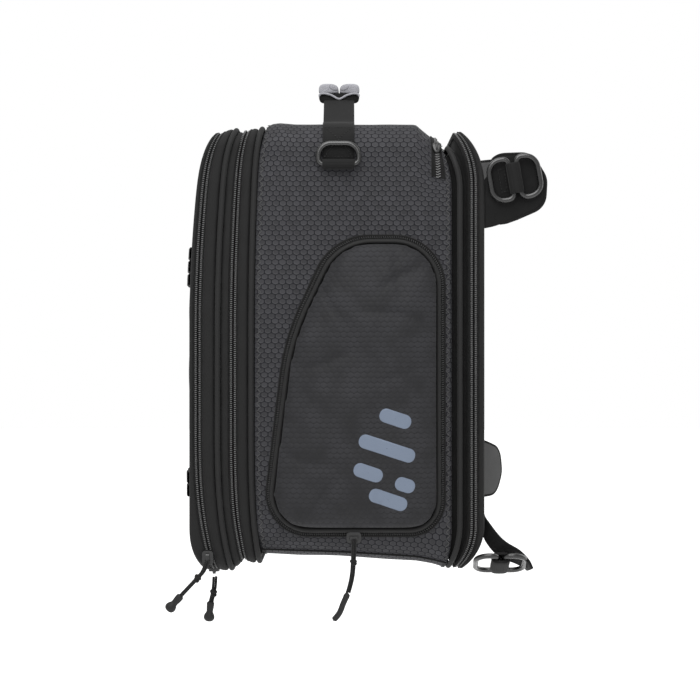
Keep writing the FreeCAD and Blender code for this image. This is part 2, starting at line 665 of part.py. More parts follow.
def feature(label, shape, place=(0, 0, 0)):
    """A sub-part made of free-form solids, which no sketch describes."""
    result = document.addObject("Part::Feature", label)
    result.Label = label
    result.Shape = shape
    result.Placement = FreeCAD.Placement(V(*place), FreeCAD.Rotation())
    return result


def pull_cord(label, route, place):
    """Two strands side by side, apart along Y, from a slider's bridge to the grip's neck."""
    apart = size("pull_cord") / 2 + 0.1
    strands = []
    for shift in (-apart, apart):
        path = [(x, y + shift, z) for x, y, z in route]
        strands.append(tube(path, size("pull_cord"), label))
    return feature(label, Part.Compound(strands), place)


def knot(centre, along, long, wide, hole):
    """A short rounded sleeve round both strands."""
    axis = V(*along).normalize()
    middle = V(*centre)
    outer = Part.makeCylinder(wide / 2, long, middle - axis * (long / 2), axis)
    outer = outer.makeFillet(min(wide, long) / 4, outer.Edges[:1] + outer.Edges[2:])
    return outer.cut(hole)


LID_PULL_A = [(0.5, 0, -1), (0.3, 0, -7), (-0.6, 0, -13.5), (-2.4, 0, -20), (-3.4, 0, -26.5),
              (-4.1, 0, -32.8)]
LID_PULL_B = [(0, 0, -1), (-2, 0.2, -8.2), (-7.5, 0.3, -14), (-13, 0.4, -20), (-18.4, 0.4, -25.6),
              (-23.4, 0.4, -31.2)]
POCKET_PULL = [(0.2, 0, -1), (0, 0, -9.6), (-0.4, 0, -18.2), (-0.9, 0, -26.8), (-2.3, 0, -35),
               (-4.6, 0, -42.6)]


def ball_grip():
    """A tapered neck from local z = 0 that ends in a ball, turned about local Z."""
    neck_wide, neck_thin, neck_long, ball = 2.4, 1.9, 7.5, 4.2
    reach = math.sqrt(ball ** 2 - neck_thin ** 2)
    centre = neck_long + reach
    corners = [V(0, 0, 0), V(neck_wide, 0, 0), V(neck_thin, 0, neck_long)]
    edges = [Part.makeLine(corners[0], corners[1]), Part.makeLine(corners[1], corners[2]),
             Part.Arc(corners[2], V(ball, 0, centre), V(0, 0, centre + ball)).toShape(),
             Part.makeLine(V(0, 0, centre + ball), corners[0])]
    return Part.Face(Part.Wire(edges)).revolve(V(0, 0, 0), V(0, 0, 1), 360)


def lid_pull(letter, route, place):
    """Cord, its knot, and the moulded grip that ends in a ball."""
    cord = pull_cord("lid_pull_cord_" + letter, route, place)
    hole = cord.Shape.copy()
    hole.Placement = FreeCAD.Placement()
    neck, before = V(*route[-1]), V(*route[-2])
    axis = (neck - before).normalize()
    middle = V(*route[2])
    sleeve = knot(tuple(middle), tuple(V(*route[3]) - V(*route[1])), 7.5, 6.4, hole)
    grip = ball_grip()
    grip.Placement = FreeCAD.Placement(neck, FreeCAD.Rotation(V(0, 0, 1), axis))
    feature("lid_pull_grip_" + letter, Part.Compound([sleeve, grip]), place)


def pocket_pull(name, route, place):
    cord = pull_cord("pocket_pull_cord_" + name, route, place)
    hole = cord.Shape.copy()
    hole.Placement = FreeCAD.Placement()
    sleeve = knot(route[2], (-0.05, 0, -1), 5.2, 6.2, hole)
    neck = V(*route[-1])
    bend = [neck, neck + V(-3.6, 0, -8), neck + V(-6.6, 0, -15.4), neck + V(-11.4, 0, -21.4)]
    grip = tube([tuple(point) for point in bend], 4.6, "pocket_pull_grip_" + name)
    feature("pocket_pull_grip_" + name, Part.Compound([sleeve, grip]), place)


LID_SLIDER_A = (-215.0, -125.0)
LID_SLIDER_B = (-218.6, -163.0)
POCKET_SLIDER_X = -104.0
TOP_SLIDER_ANGLE = 38
PULL_ASIDE = 0.12  # how far the cover's slanting edge pushes the right-hand pull aside


def make_sliders():
    gap = size("clearance")
    under = size("front_bottom") - gap
    side = -size("front_half") - gap
    slider("lid_slider_a", (LID_SLIDER_A[0], LID_SLIDER_A[1], under), facing((0, 0, -1), (0, 1, 0)))
    slider("lid_slider_b", (LID_SLIDER_B[0], side, LID_SLIDER_B[1]), facing((0, -1, 0), (0, 0, 1)))
    bridge_out = size("slider_thick + bridge_rise") + 1.4
    beside = bridge_out + 1.1
    lid_pull("a", LID_PULL_A, (LID_SLIDER_A[0], LID_SLIDER_A[1], under - bridge_out))
    lid_pull("b", LID_PULL_B, (LID_SLIDER_B[0], side - beside, LID_SLIDER_B[1] - 1))
    rim_face = size("main_half + rim_thick") + gap
    low = size("rim_bottom") - 0.6
    slider("pocket_slider_left", (POCKET_SLIDER_X, -rim_face, low), facing((0, -1, 0), (1, 0, 0)))
    pocket_pull("left", POCKET_PULL, (POCKET_SLIDER_X, -rim_face - beside, low))
    slope = V(size("rim_front - rim_bend_x"), 0, size("rim_bottom - rim_bend_z")).normalize()
    outward = V(slope.z, 0, -slope.x)
    middle = V(size("rim_bend_x"), 0, size("rim_bend_z")) + slope * 46 + outward * 0.4
    slider("pocket_slider_right", (middle.x, rim_face, middle.z), facing((0, 1, 0), tuple(slope)))
    aside = [(x + PULL_ASIDE * z, y, z) for x, y, z in POCKET_PULL]
    pocket_pull("right", aside, (middle.x, rim_face + beside, middle.z))
    turn = math.radians(TOP_SLIDER_ANGLE)
    out = size("main_corner") + 0.1 + 1.6 + gap
    centre = (-size("main_half - main_corner"), size("main_top - main_corner"))
    normal, along = (0, -math.cos(turn), math.sin(turn)), (0, math.sin(turn), math.cos(turn))
    place = (-39.5, centre[0] - out * math.cos(turn), centre[1] + out * math.sin(turn))
    slider("top_zip_slider", place, facing(normal, along))
    far_side = facing((0, 1, 0), (0, 0, 1))
    slider("expansion_slider", (size("growth_zip"), size("front_half") + gap, -30), far_side)
    slider("base_zip_slider", (size("base_zip"), size("base_half") + gap, -60), far_side)


# ---------------------------------------------------------------- the whole bag
make_base()
make_bag_layers()
over_the_top("top_zip", -45, -34.2, 140, None, "1.6")
make_front()
make_lash_strips()
make_handle()
for pocket_name, pocket_side in (("left", -1), ("right", 1)):
    make_pocket(pocket_name, pocket_side)
    make_strap_anchor("strap_anchor_" + pocket_name, pocket_side)
    upright = ring("side_ring_" + pocket_name)
    lean = V(0, -pocket_side * math.sin(math.radians(RING_LEAN)), math.cos(math.radians(RING_LEAN)))
    upright.Placement = FreeCAD.Placement(V(size("strap_x"), pocket_side * RING_BAR_Y, RING_BAR_Z),
                                          FreeCAD.Rotation(lean, lean.cross(V(-1, 0, 0)), V(1, 0, 0), "XZY"))
wing("upper_left", -1, 114.5, 10)
wing("upper_right", 1, 134, 14)
wing("lower_right", 1, -118, -10, swing=45)
drooping_wing("lower_left")
make_sliders()
document.recompute()

NODES = [
    "base_panel", "base_pad", "base_board", "base_zip_lower", "base_zip_slider",
    "wing_upper_left", "wing_upper_right", "wing_lower_left", "wing_lower_right",
    "main_shell", "lining", "side_boards", "bottom_board", "front_piping", "expansion_zip_rear",
    "expansion_gusset", "rear_gusset", "rear_piping", "base_zip_upper", "top_zip", "strap_anchor_left",
    "strap_anchor_right", "pocket_rim_left", "pocket_rim_right", "side_ring_left", "side_ring_right",
    "handle_strap", "handle_wrap", "pocket_cover_left", "pocket_cover_right", "pocket_slider_left",
    "pocket_slider_right", "pocket_pull_cord_left", "pocket_pull_cord_right", "pocket_pull_grip_left",
    "pocket_pull_grip_right", "top_zip_slider", "expansion_slider", "front_band", "lid_piping",
    "expansion_zip_front", "lid_zip_frame", "lid_shell", "lid_zip_lid", "lid_board", "lash_strips",
    "lid_slider_a", "lid_slider_b", "lid_pull_cord_a", "lid_pull_cord_b", "lid_pull_grip_a", "lid_pull_grip_b",
]
for wing_name in ("upper_left", "upper_right", "lower_left", "lower_right"):
    NODES += [f"wing_ring_{wing_name}_inner", f"wing_ring_{wing_name}_outer"]

failed = [item.Label for item in document.Objects if {"Invalid", "Error"} & set(item.State)]
if failed:
    raise RuntimeError("failed objects: " + ", ".join(failed))
os.makedirs("parts", exist_ok=True)
for node in NODES:
    shape = document.getObjectsByLabel(node)[0].Shape
    if shape.isNull() or not shape.isValid() or not shape.Solids:
        raise RuntimeError(node + " has no valid solid")
    shape.exportStep(f"parts/{node}.step")
for label, ratio in CORD_RADII:
    print(f"{label}: bend radius {ratio:.1f} diameters")
print(len(NODES), "nodes written")
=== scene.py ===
import math

import bmesh
import bpy
import numpy as np
from mathutils import Matrix, Vector, noise
from mathutils.bvhtree import BVHTree


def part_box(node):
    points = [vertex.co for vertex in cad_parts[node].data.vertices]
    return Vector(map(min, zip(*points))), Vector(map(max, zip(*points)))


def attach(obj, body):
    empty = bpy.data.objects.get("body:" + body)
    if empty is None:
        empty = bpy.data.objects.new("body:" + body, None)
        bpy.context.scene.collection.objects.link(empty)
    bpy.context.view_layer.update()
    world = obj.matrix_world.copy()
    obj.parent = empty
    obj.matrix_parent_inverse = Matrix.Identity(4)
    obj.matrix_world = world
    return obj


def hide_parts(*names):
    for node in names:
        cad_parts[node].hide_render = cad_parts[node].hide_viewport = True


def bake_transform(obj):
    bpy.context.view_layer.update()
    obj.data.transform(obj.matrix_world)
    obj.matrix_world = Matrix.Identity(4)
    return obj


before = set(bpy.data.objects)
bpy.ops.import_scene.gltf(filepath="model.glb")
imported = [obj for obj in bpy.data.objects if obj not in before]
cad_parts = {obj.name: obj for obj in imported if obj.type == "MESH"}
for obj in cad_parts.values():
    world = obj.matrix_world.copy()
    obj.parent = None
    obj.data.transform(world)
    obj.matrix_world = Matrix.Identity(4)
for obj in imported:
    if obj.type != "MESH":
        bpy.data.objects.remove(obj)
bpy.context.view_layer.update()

# Looks of the motorcycle tail bag.  Lengths are millimetres unless a comment says metres, and piece() turns
# them into metres.  The near side is -Y, the lid faces -X, and the strap base is at +X.
MM = 0.001
scene = bpy.context.scene


# ---------------------------------------------------------------- camera, light and floor
def make_camera():
    data = bpy.data.cameras.new("camera")
    data.lens = 105
    data.sensor_width = 36
    data.clip_start, data.clip_end = 0.1, 20
    camera = bpy.data.objects.new("camera", data)
    camera.location = (-0.107, -1.75, 0.0)
    camera.rotation_euler = (math.radians(90), 0, 0)
    scene.collection.objects.link(camera)
    scene.camera = camera


def soft_light(name, place, target, wide, tall, watts):
    data = bpy.data.lights.new(name, "AREA")
    data.shape = "RECTANGLE"
    data.size, data.size_y, data.energy = wide, tall, watts
    lamp = bpy.data.objects.new(name, data)
    lamp.location = place
    lamp.rotation_euler = (Vector(target) - Vector(place)).to_track_quat("-Z", "Y").to_euler()
    scene.collection.objects.link(lamp)


def make_studio():
    world = bpy.data.worlds.new("studio")
    world.use_nodes = True
    background = world.node_tree.nodes["Background"]
    background.inputs["Color"].default_value = (1, 1, 1, 1)
    background.inputs["Strength"].default_value = 1.0
    scene.world = world
    scene.view_settings.view_transform = "Standard"
    soft_light("top_light", (-0.3, -0.6, 1.3), (-0.12, 0, 0.1), 1.2, 1.0, 15)
    soft_light("front_light", (-0.2, -1.1, 0.75), (-0.12, -0.15, 0.12), 0.8, 0.6, 9)
    soft_light("rear_light", (1.2, 0.6, 0.6), (-0.1, 0, 0), 0.8, 1.4, 5)


# ---------------------------------------------------------------- materials
SHEEN_SHARE = 0.2  # the bright studio makes full sheen look dusty
CLOTH_SPECULAR = 0.14


class Shader:
    """One node material; a socket or a plain number may go into any input."""

    def __init__(self, name, colour, roughness, sheen=0.0, metal=0.0, coat=0.0):
        self.material = bpy.data.materials.new(name)
        self.material.use_nodes = True
        self.tree = self.material.node_tree
        self.surface = self.tree.nodes["Principled BSDF"]
        self.surface.inputs["Base Color"].default_value = (*colour, 1)
        self.surface.inputs["Roughness"].default_value = roughness
        self.surface.inputs["Sheen Weight"].default_value = sheen * SHEEN_SHARE
        self.surface.inputs["Sheen Roughness"].default_value = 0.45
        self.surface.inputs["Metallic"].default_value = metal
        self.surface.inputs["Coat Weight"].default_value = coat
        self.surface.inputs["Specular IOR Level"].default_value = CLOTH_SPECULAR
        self.normal = None

    def add(self, kind, inputs, **settings):
        node = self.tree.nodes.new(kind)
        for key, value in settings.items():
            setattr(node, key, value)
        for key, value in inputs.items():
            self.feed(node.inputs[key], value)
        return node

    def feed(self, socket, value):
        if isinstance(value, bpy.types.NodeSocket):
            self.tree.links.new(value, socket)
        elif value is not None:
            socket.default_value = value

    def set(self, name, value):
        self.feed(self.surface.inputs[name], value)

    def place(self):
        """Where a point lies on the cloth, in millimetres."""
        node = self.add("ShaderNodeTexCoord", {})
        return self.vector("SCALE", node.outputs["UV"], scale=1000.0)

    def solid_place(self):
        """Where a point lies in the piece, in millimetres."""
        node = self.add("ShaderNodeTexCoord", {})
        return self.vector("SCALE", node.outputs["Object"], scale=1000.0)

    def math(self, operation, first, second=None, clamp=False):
        node = self.add("ShaderNodeMath", {0: first, 1: second}, operation=operation, use_clamp=clamp)
        return node.outputs[0]

    def vector(self, operation, first, second=None, third=None, scale=None):
        inputs = {0: first, 1: second, 2: third}
        if scale is not None:
            inputs["Scale"] = scale
        node = self.add("ShaderNodeVectorMath", inputs, operation=operation)
        return node.outputs["Value" if operation in ("LENGTH", "DISTANCE") else "Vector"]

    def split(self, vector):
        return self.add("ShaderNodeSeparateXYZ", {0: vector}).outputs

    def noise(self, place, scale, detail=2.0):
        node = self.add("ShaderNodeTexNoise", {"Vector": place, "Scale": scale, "Detail": detail})
        return node.outputs["Fac"]

    def step(self, value, low, high, to_low=0.0, to_high=1.0):
        node = self.add("ShaderNodeMapRange", {"Value": value, "From Min": low, "From Max": high,
                                               "To Min": to_low, "To Max": to_high},
                        interpolation_type="SMOOTHSTEP")
        return node.outputs[0]

    def blend(self, share, first, second):
        node = self.add("ShaderNodeMix", {}, data_type="RGBA")
        self.feed(node.inputs["Factor"], share)
        for socket, colour in ((node.inputs[6], first), (node.inputs[7], second)):
            self.feed(socket, colour if isinstance(colour, bpy.types.NodeSocket) else (*colour, 1))
        return node.outputs[2]

    def bump(self, height, depth, strength=1.0):
        """Adds relief; height runs 0 to 1 and depth is its size in millimetres."""
        node = self.add("ShaderNodeBump", {"Height": height, "Distance": depth * MM, "Strength": strength})
        if self.normal is not None:
            self.feed(node.inputs["Normal"], self.normal)
        self.normal = node.outputs["Normal"]
        self.set("Normal", self.normal)

    def weave(self, place, pitch):
        """Crossed threads, 0 to 1."""
        across, along, _ = self.split(place)
        waves = []
        for coordinate in (across, along):
            waves.append(self.math("SINE", self.math("MULTIPLY", coordinate, 2 * math.pi / pitch)))
        return self.math("ADD", self.math("MULTIPLY", self.math("MULTIPLY", *waves), 0.5), 0.5)

    def cells(self, place, pitch, row):
        """Rounded hexagons: how far out in its cell a point is (0 to about 0.55), a number of the cell's own,
        and the point's offset from the cell's middle."""
        spread = self.vector("MULTIPLY", place, (1 / pitch, 0.866 / row, 0.0))
        half = (0.5, 0.866, 1.0)
        low = (-0.5, -0.866, -1.0)
        even = self.vector("WRAP", spread, half, low)
        odd = self.vector("WRAP", self.vector("SUBTRACT", spread, (0.5, 0.866, 0.0)), half, low)
        nearer = self.math("GREATER_THAN", self.vector("LENGTH", even), self.vector("LENGTH", odd))
        mix = self.add("ShaderNodeMix", {}, data_type="VECTOR")
        self.feed(mix.inputs["Factor"], nearer)
        self.feed(mix.inputs[4], even)
        self.feed(mix.inputs[5], odd)
        offset = mix.outputs[1]
        across, along, _ = self.split(self.vector("ABSOLUTE", offset))
        slanted = self.math("ADD", self.math("MULTIPLY", across, 0.5), self.math("MULTIPLY", along, 0.866))
        edge = self.math("MAXIMUM", across, slanted)
        rounded = self.math("ADD", self.math("MULTIPLY", edge, 0.6),
                            self.math("MULTIPLY", self.vector("LENGTH", offset), 0.38))
        own = self.add("ShaderNodeTexWhiteNoise", {"Vector": self.vector("SNAP", self.vector(
            "ADD", self.vector("SUBTRACT", spread, offset), (0.01, 0.01, 0.0)), (0.1, 0.1, 0.1))})
        return rounded, own.outputs["Value"], offset


DARKER = 0.42  # the studio is bright, so cloth of a given display grey has less albedo than that


def grey(level):
    """A display grey of 0 to 255 as a linear colour."""
    return tint(level, level, level)


def tint(red, green, blue):
    return tuple((channel / 255) ** 2.2 * DARKER for channel in (red, green, blue))


def fabric(name, colour, pitch=0.9, depth=0.05, roughness=0.8, sheen=0.15, patches=0.25, solid=False):
    """Plain woven cloth with uneven patches and a fine weave."""
    shader = Shader(name, colour, roughness, sheen)
    place = shader.solid_place() if solid else shader.place()
    weave = shader.weave(place, pitch)
    cloudy = shader.noise(place, 0.06, 3.0)
    dark = tuple(c * (1 - patches) for c in colour)
    light = tuple(c * (1 + patches) for c in colour)
    mottled = shader.blend(cloudy, dark, light)
    shader.set("Base Color", shader.blend(shader.math("MULTIPLY", weave, 0.35), mottled,
                                          tuple(c * 0.5 for c in colour)))
    shader.set("Roughness", shader.step(cloudy, 0.3, 0.7, roughness - 0.06, roughness + 0.06))
    shader.bump(weave, depth)
    shader.bump(shader.noise(place, 0.12, 3.0), 0.5, 0.5)
    return shader.material


def hexagon_cloth(name):
    """Coated cloth of small raised hexagons, lighter than the threads between them, with painted highlight on
    one side of each cell's rim.
    """
    shader = Shader(name, grey(66), 0.62, 0.1)
    place = shader.place()
    wander = shader.add("ShaderNodeTexNoise", {"Vector": place, "Scale": 0.09,
                                               "Detail": 1.0}).outputs["Color"]
    shifted = shader.vector("ADD", place, shader.vector("SCALE", wander, scale=0.9))
    rounded, own, offset = shader.cells(shifted, 5.6, 3.85)
    border = shader.step(rounded, 0.395, 0.47)
    rim = shader.math("MULTIPLY", shader.step(rounded, 0.24, 0.38), shader.math("SUBTRACT", 1.0, border))
    across, along, _ = shader.split(offset)
    # painted highlight: one side of each raised cell's rim is painted lighter (tint 92), as if lit from that
    # side
    painted_highlight_side = shader.step(shader.math("SUBTRACT", shader.math("MULTIPLY", along, -1.0), across), -0.35, 0.35)
    cell = shader.blend(own, tint(61, 61, 64), tint(73, 73, 77))
    cell = shader.blend(shader.math("MULTIPLY", shader.math("MULTIPLY", rim, painted_highlight_side), 0.5), cell,
                        tint(92, 92, 95))
    cell = shader.blend(shader.math("MULTIPLY", shader.weave(place, 0.8), 0.2), cell, grey(40))
    shader.set("Base Color", shader.blend(border, cell, tint(33, 33, 38)))
    shader.set("Roughness", shader.step(border, 0.0, 1.0, 0.58, 0.85))
    shader.bump(shader.math("SUBTRACT", 1.0, shader.step(rounded, 0.25, 0.5)), 0.32, 0.8)
    shader.bump(shader.weave(place, 0.8), 0.04, 0.6)
    shader.bump(shader.noise(place, 0.05, 3.0), 0.9, 0.5)
    return shader.material


def pocket_cloth(name):
    """Dark nylon over foam with faint hexagon dimples and painted shade along the lower side of each dimple's
    rim.
    """
    shader = Shader(name, grey(53), 0.7, 0.15)
    place = shader.place()
    rounded, _, offset = shader.cells(place, 5.2, 3.9)
    _, along, _ = shader.split(offset)
    # painted shade: the lower side of each dimple's rim is darkened towards grey 30, in patches, as if shaded
    # from above
    painted_shade_arc = shader.math("MULTIPLY", shader.step(rounded, 0.36, 0.45), shader.step(along, 0.1, -0.35))
    cloudy = shader.noise(place, 0.045, 4.0)
    painted_shade_arc = shader.math("MULTIPLY", painted_shade_arc, shader.step(cloudy, 0.3, 0.6, 0.25, 1.0))
    cloth = shader.blend(shader.step(cloudy, 0.3, 0.7), tint(48, 48, 50), tint(62, 62, 65))
    shader.set("Base Color", shader.blend(shader.math("MULTIPLY", painted_shade_arc, 0.75), cloth, grey(30)))
    shader.set("Roughness", shader.step(cloudy, 0.3, 0.7, 0.62, 0.76))
    shader.bump(shader.math("SUBTRACT", 1.0, shader.step(rounded, 0.2, 0.5)), 0.3, 0.8)
    shader.bump(shader.weave(place, 0.7), 0.04, 0.6)
    shader.bump(cloudy, 1.2, 0.5)
    return shader.material


def webbing_cloth(name, level, pitch=1.5):
    """Ribbed webbing: its ribs cross it."""
    shader = Shader(name, grey(level), 0.78, 0.2)
    place = shader.place()
    across, along, _ = shader.split(place)
    rib = shader.math("SINE", shader.math("MULTIPLY", along, 2 * math.pi / pitch))
    grain = shader.math("SINE", shader.math("MULTIPLY", across, 2 * math.pi / 0.9))
    pattern = shader.math("ADD", shader.math("MULTIPLY", rib, 0.35), shader.math("MULTIPLY", grain, 0.15))
    height = shader.math("ADD", pattern, 0.5)
    cloudy = shader.noise(place, 0.2, 3.0)
    base = shader.blend(height, grey(level * 0.84), grey(level * 1.12))
    shader.set("Base Color", shader.blend(shader.math("MULTIPLY", cloudy, 0.3), base, grey(level * 0.7)))
    shader.bump(height, 0.14, 0.7)
    return shader.material


def enamel(name, level, roughness):
    """Black coated metal, thinner and brighter where it rubs."""
    shader = Shader(name, grey(level), roughness, 0, 0.55, 0.5)
    place = shader.solid_place()
    scuffs = shader.noise(place, 0.8, 5.0)
    shader.set("Roughness", shader.step(scuffs, 0.35, 0.75, roughness, roughness + 0.2))
    shader.set("Base Color", shader.blend(shader.step(scuffs, 0.55, 0.8), grey(level), grey(level * 1.6)))
    shader.surface.inputs["Coat Roughness"].default_value = 0.2
    shader.surface.inputs["Specular IOR Level"].default_value = 0.6
    shader.bump(shader.noise(place, 0.35, 2.0), 0.1, 0.4)
    return shader.material


def moulded(name, level, roughness=0.5):
    """Moulded soft plastic with a fine spark-eroded grain."""
    shader = Shader(name, grey(level), roughness)
    place = shader.solid_place()
    grain = shader.noise(place, 3.0, 3.0)
    shader.set("Base Color", shader.blend(grain, grey(level * 0.85), grey(level * 1.15)))
    shader.set("Roughness", shader.step(grain, 0.3, 0.7, roughness - 0.08, roughness + 0.1))
    shader.bump(grain, 0.06, 0.6)
    return shader.material


def braided(name, level):
    """Round braided cord; crossing yarns show as small chevrons."""
    shader = Shader(name, grey(level), 0.75, 0.3)
    x, y, z = shader.split(shader.solid_place())
    first = shader.math("SINE", shader.math("MULTIPLY", shader.math("ADD", z, shader.math("ADD", x, y)), 5.2))
    second = shader.math("SINE", shader.math("MULTIPLY", shader.math("SUBTRACT", z, shader.math("ADD", x,
                                                                                                y)), 5.2))
    height = shader.math("MAXIMUM", first, second)
    shader.set("Base Color", shader.blend(shader.step(height, 0.0, 1.0), grey(level * 0.6),
                                          grey(level * 1.3)))
    shader.bump(height, 0.12, 0.7)
    return shader.material


def dotted_rubber(name):
    """Non-slip foam face: rows of small rubber dots."""
    shader = Shader(name, grey(48), 0.75)
    place = shader.place()
    rounded, _, _ = shader.cells(place, 4.4, 3.8)
    dots = shader.step(rounded, 0.3, 0.2)
    shader.set("Base Color", shader.blend(dots, grey(40), grey(60)))
    shader.set("Roughness", shader.step(dots, 0.0, 1.0, 0.85, 0.5))
    shader.bump(dots, 0.5, 0.9)
    shader.bump(shader.noise(place, 2.0, 3.0), 0.05, 0.5)
    return shader.material


def reflective(name):
    """Blue-grey heat-pressed film with a faint bead grain."""
    shader = Shader(name, tint(138, 149, 168), 0.42, 0, 0.15)
    place = shader.solid_place()
    beads = shader.noise(place, 4.0, 2.0)
    shader.set("Base Color", shader.blend(beads, tint(124, 137, 158), tint(150, 162, 181)))
    shader.set("Roughness", shader.step(beads, 0.3, 0.7, 0.35, 0.55))
    shader.bump(beads, 0.03, 0.6)
    return shader.material


HEX = hexagon_cloth("hex_fabric")
BAND = fabric("band_fabric", grey(44), 0.8, 0.05, 0.78, 0.2)
DARK = fabric("dark_fabric", grey(34), 0.8, 0.05, 0.85, 0.1)
POCKET = pocket_cloth("pocket_fabric")
PIPING = fabric("piping_fabric", grey(50), 0.7, 0.03, 0.68, 0.2)
TAPE = fabric("zip_tape", grey(34), 1.1, 0.06, 0.8, 0.15)
TEETH = moulded("zip_teeth", 126, 0.38)
COIL = moulded("pocket_coil", 74, 0.42)
THREAD = fabric("thread", grey(125), 0.5, 0.03, 0.7, 0.3, solid=True)
FAINT_ZIGZAG = fabric("zigzag_thread", grey(98), 0.5, 0.03, 0.7, 0.3, solid=True)
FAINT_THREAD = fabric("faint_thread", grey(50), 0.5, 0.03, 0.7, 0.3, solid=True)
DARK_THREAD = fabric("dark_thread", grey(92), 0.5, 0.03, 0.7, 0.3, solid=True)
WEBBING = webbing_cloth("webbing", 34)
WING = fabric("wing_fabric", grey(28), 1.0, 0.06, 0.75, 0.2)
WING_FAR = fabric("wing_back", grey(95), 1.0, 0.05, 0.7, 0.2)
WRAP = fabric("grip_wrap", tint(200, 200, 207), 1.3, 0.12, 0.85, 0.3, patches=0.12)
WRAP_DARK = fabric("grip_lining", grey(40), 1.0, 0.06, 0.85, 0.2)
LINING = fabric("lining_cloth", tint(140, 143, 148), 1.0, 0.04, 0.75, 0.1)
RING = enamel("ring_enamel", 34, 0.24)
SLIDER = enamel("slider_enamel", 26, 0.34)
CORD = braided("pull_cord", 38)
GRIP = moulded("pull_grip", 52, 0.55)
RUBBER = dotted_rubber("base_rubber")
BOARD = moulded("board_plastic", 60, 0.6)
FILM = reflective("reflective_film")


# ---------------------------------------------------------------- mesh helpers
def piece(name, points, faces, material, uvs=None, smooth=True):
    """A mesh object from points in millimetres; uvs holds one pair in millimetres for each face corner."""
    mesh = bpy.data.meshes.new(name)
    mesh.from_pydata((np.asarray(points, float) * MM).tolist(), [], [list(map(int, face)) for face in faces])
    mesh.update()
    if uvs is not None:
        layer = mesh.uv_layers.new(name="cloth")
        layer.data.foreach_set("uv", (np.asarray(uvs, float) * MM).ravel())
    if smooth:
        mesh.shade_smooth()
    mesh.materials.append(material)
    obj = bpy.data.objects.new(name, mesh)
    scene.collection.objects.link(obj)
    return obj


def loft(name, rows, across, along, material, closed=True, shut=False):
    """A surface through rows of points.  across has a place for each row and along one for each column, with
    one more when the rows are closed.  shut joins the last row to the first."""
    rows = np.asarray(rows, float)
    count, width = rows.shape[:2]
    faces, uvs = [], []
    for i in range(count if shut else count - 1):
        k = (i + 1) % count
        for j in range(width if closed else width - 1):
            m = (j + 1) % width
            faces.append((i * width + j, i * width + m, k * width + m, k * width + j))
            uvs += [(across[i], along[j]), (across[i], along[j + 1]), (across[i + 1], along[j + 1]),
                    (across[i + 1], along[j])]
    return piece(name, rows.reshape(-1, 3), faces, material, uvs)


def running(points, closed=False):
    """Length along a line of points up to each of them, and the whole length last if it is closed."""
    points = np.asarray(points, float)
    steps = np.linalg.norm(np.diff(points, axis=0), axis=1)
    lengths = np.concatenate([[0], np.cumsum(steps)])
    if closed:
        lengths = np.append(lengths, lengths[-1] + np.linalg.norm(points[0] - points[-1]))
    return lengths


def round_polygon(corners, step=3.0):
    """Points along a closed outline with rounded corners of (across, up, radius)."""
    count = len(corners)
    ends = []
    for i, (x, z, radius) in enumerate(corners):
        corner = np.array([x, z], float)
        before = np.array(corners[i - 1][:2], float) - corner
        after = np.array(corners[(i + 1) % count][:2], float) - corner
        before, after = before / np.linalg.norm(before), after / np.linalg.norm(after)
        angle = math.acos(float(np.clip(before @ after, -1, 1))) / 2
        if radius <= 0:
            ends.append((corner, corner, corner, 0))
            continue
        reach = radius / math.tan(angle)
        centre = corner + (before + after) / np.linalg.norm(before + after) * radius / math.sin(angle)
        ends.append((corner + before * reach, corner + after * reach, centre, radius))
    points = []
    for i, (start, end, centre, radius) in enumerate(ends):
        last = ends[i - 1][1]
        span = np.linalg.norm(start - last)
        for k in range(1, max(1, int(span / step))):
            points.append(last + (start - last) * k / max(1, int(span / step)))
        if radius <= 0:
            points.append(start)
            continue
        first = math.atan2(*(start - centre)[::-1])
        turn = math.atan2(*(end - centre)[::-1]) - first
        turn = (turn + math.pi) % (2 * math.pi) - math.pi
        pieces = max(3, int(abs(turn) * radius / min(step, 2.0)))
        for k in range(pieces + 1):
            a = first + turn * k / pieces
            points.append(centre + radius * np.array([math.cos(a), math.sin(a)]))
    return np.array(points)


def line_frames(points, closed=False, first=None):
    """Tangents and two cross directions that turn as little as they can along a line."""
    points = np.asarray(points, float)
    if closed:
        tangents = np.roll(points, -1, 0) - np.roll(points, 1, 0)
    else:
        tangents = np.gradient(points, axis=0)
    tangents /= np.linalg.norm(tangents, axis=1)[:, None]
    up = np.array(first if first is not None else (0, 0, 1) if abs(tangents[0][2]) < 0.9 else (1, 0, 0),
                  float)
    sides = []
    for tangent in tangents:
        up = up - tangent * (up @ tangent)
        up /= np.linalg.norm(up)
        sides.append(up)
    sides = np.array(sides)
    return tangents, sides, np.cross(tangents, sides)


def tube(name, points, radius, material, closed=False, sides=12, first=None, flat=1.0):
    """A round or oval tube along a line; radius is one number or one for each point."""
    points = np.asarray(points, float)
    _, one, two = line_frames(points, closed, first)
    radii = np.broadcast_to(np.asarray(radius, float), (len(points),))
    turns = np.arange(sides) * 2 * math.pi / sides
    rings = []
    for a in turns:
        rings.append(points + (one * math.cos(a) + two * math.sin(a) * flat) * radii[:, None])
    rings = np.array(rings)
    around = np.append(turns, 2 * math.pi) * float(radii.mean())
    along = running(points, closed)
    return loft(name, rings, around, along, material, closed=closed, shut=True)


def capsule(long, wide, deep, sides=8, rings=3):
    """Points and faces of a small rounded rod along local X."""
    points = [(-long, 0, 0)]
    for k in range(1, rings + 1):
        a = math.pi * k / (rings + 1)
        x = -math.cos(a)
        x = math.copysign(abs(x) ** 0.6, x)
        r = math.sin(a) ** 0.7
        for j in range(sides):
            b = 2 * math.pi * j / sides
            points.append((x * long, r * wide * math.cos(b), r * deep * math.sin(b)))
    points.append((long, 0, 0))
    last = len(points) - 1
    faces = []
    for j in range(sides):
        m = (j + 1) % sides
        faces.append((0, 1 + m, 1 + j))
        faces.append((last, last - sides + j, last - sides + m))
        for k in range(rings - 1):
            a = 1 + k * sides
            faces.append((a + j, a + m, a + sides + m, a + sides + j))
    return np.array(points), faces


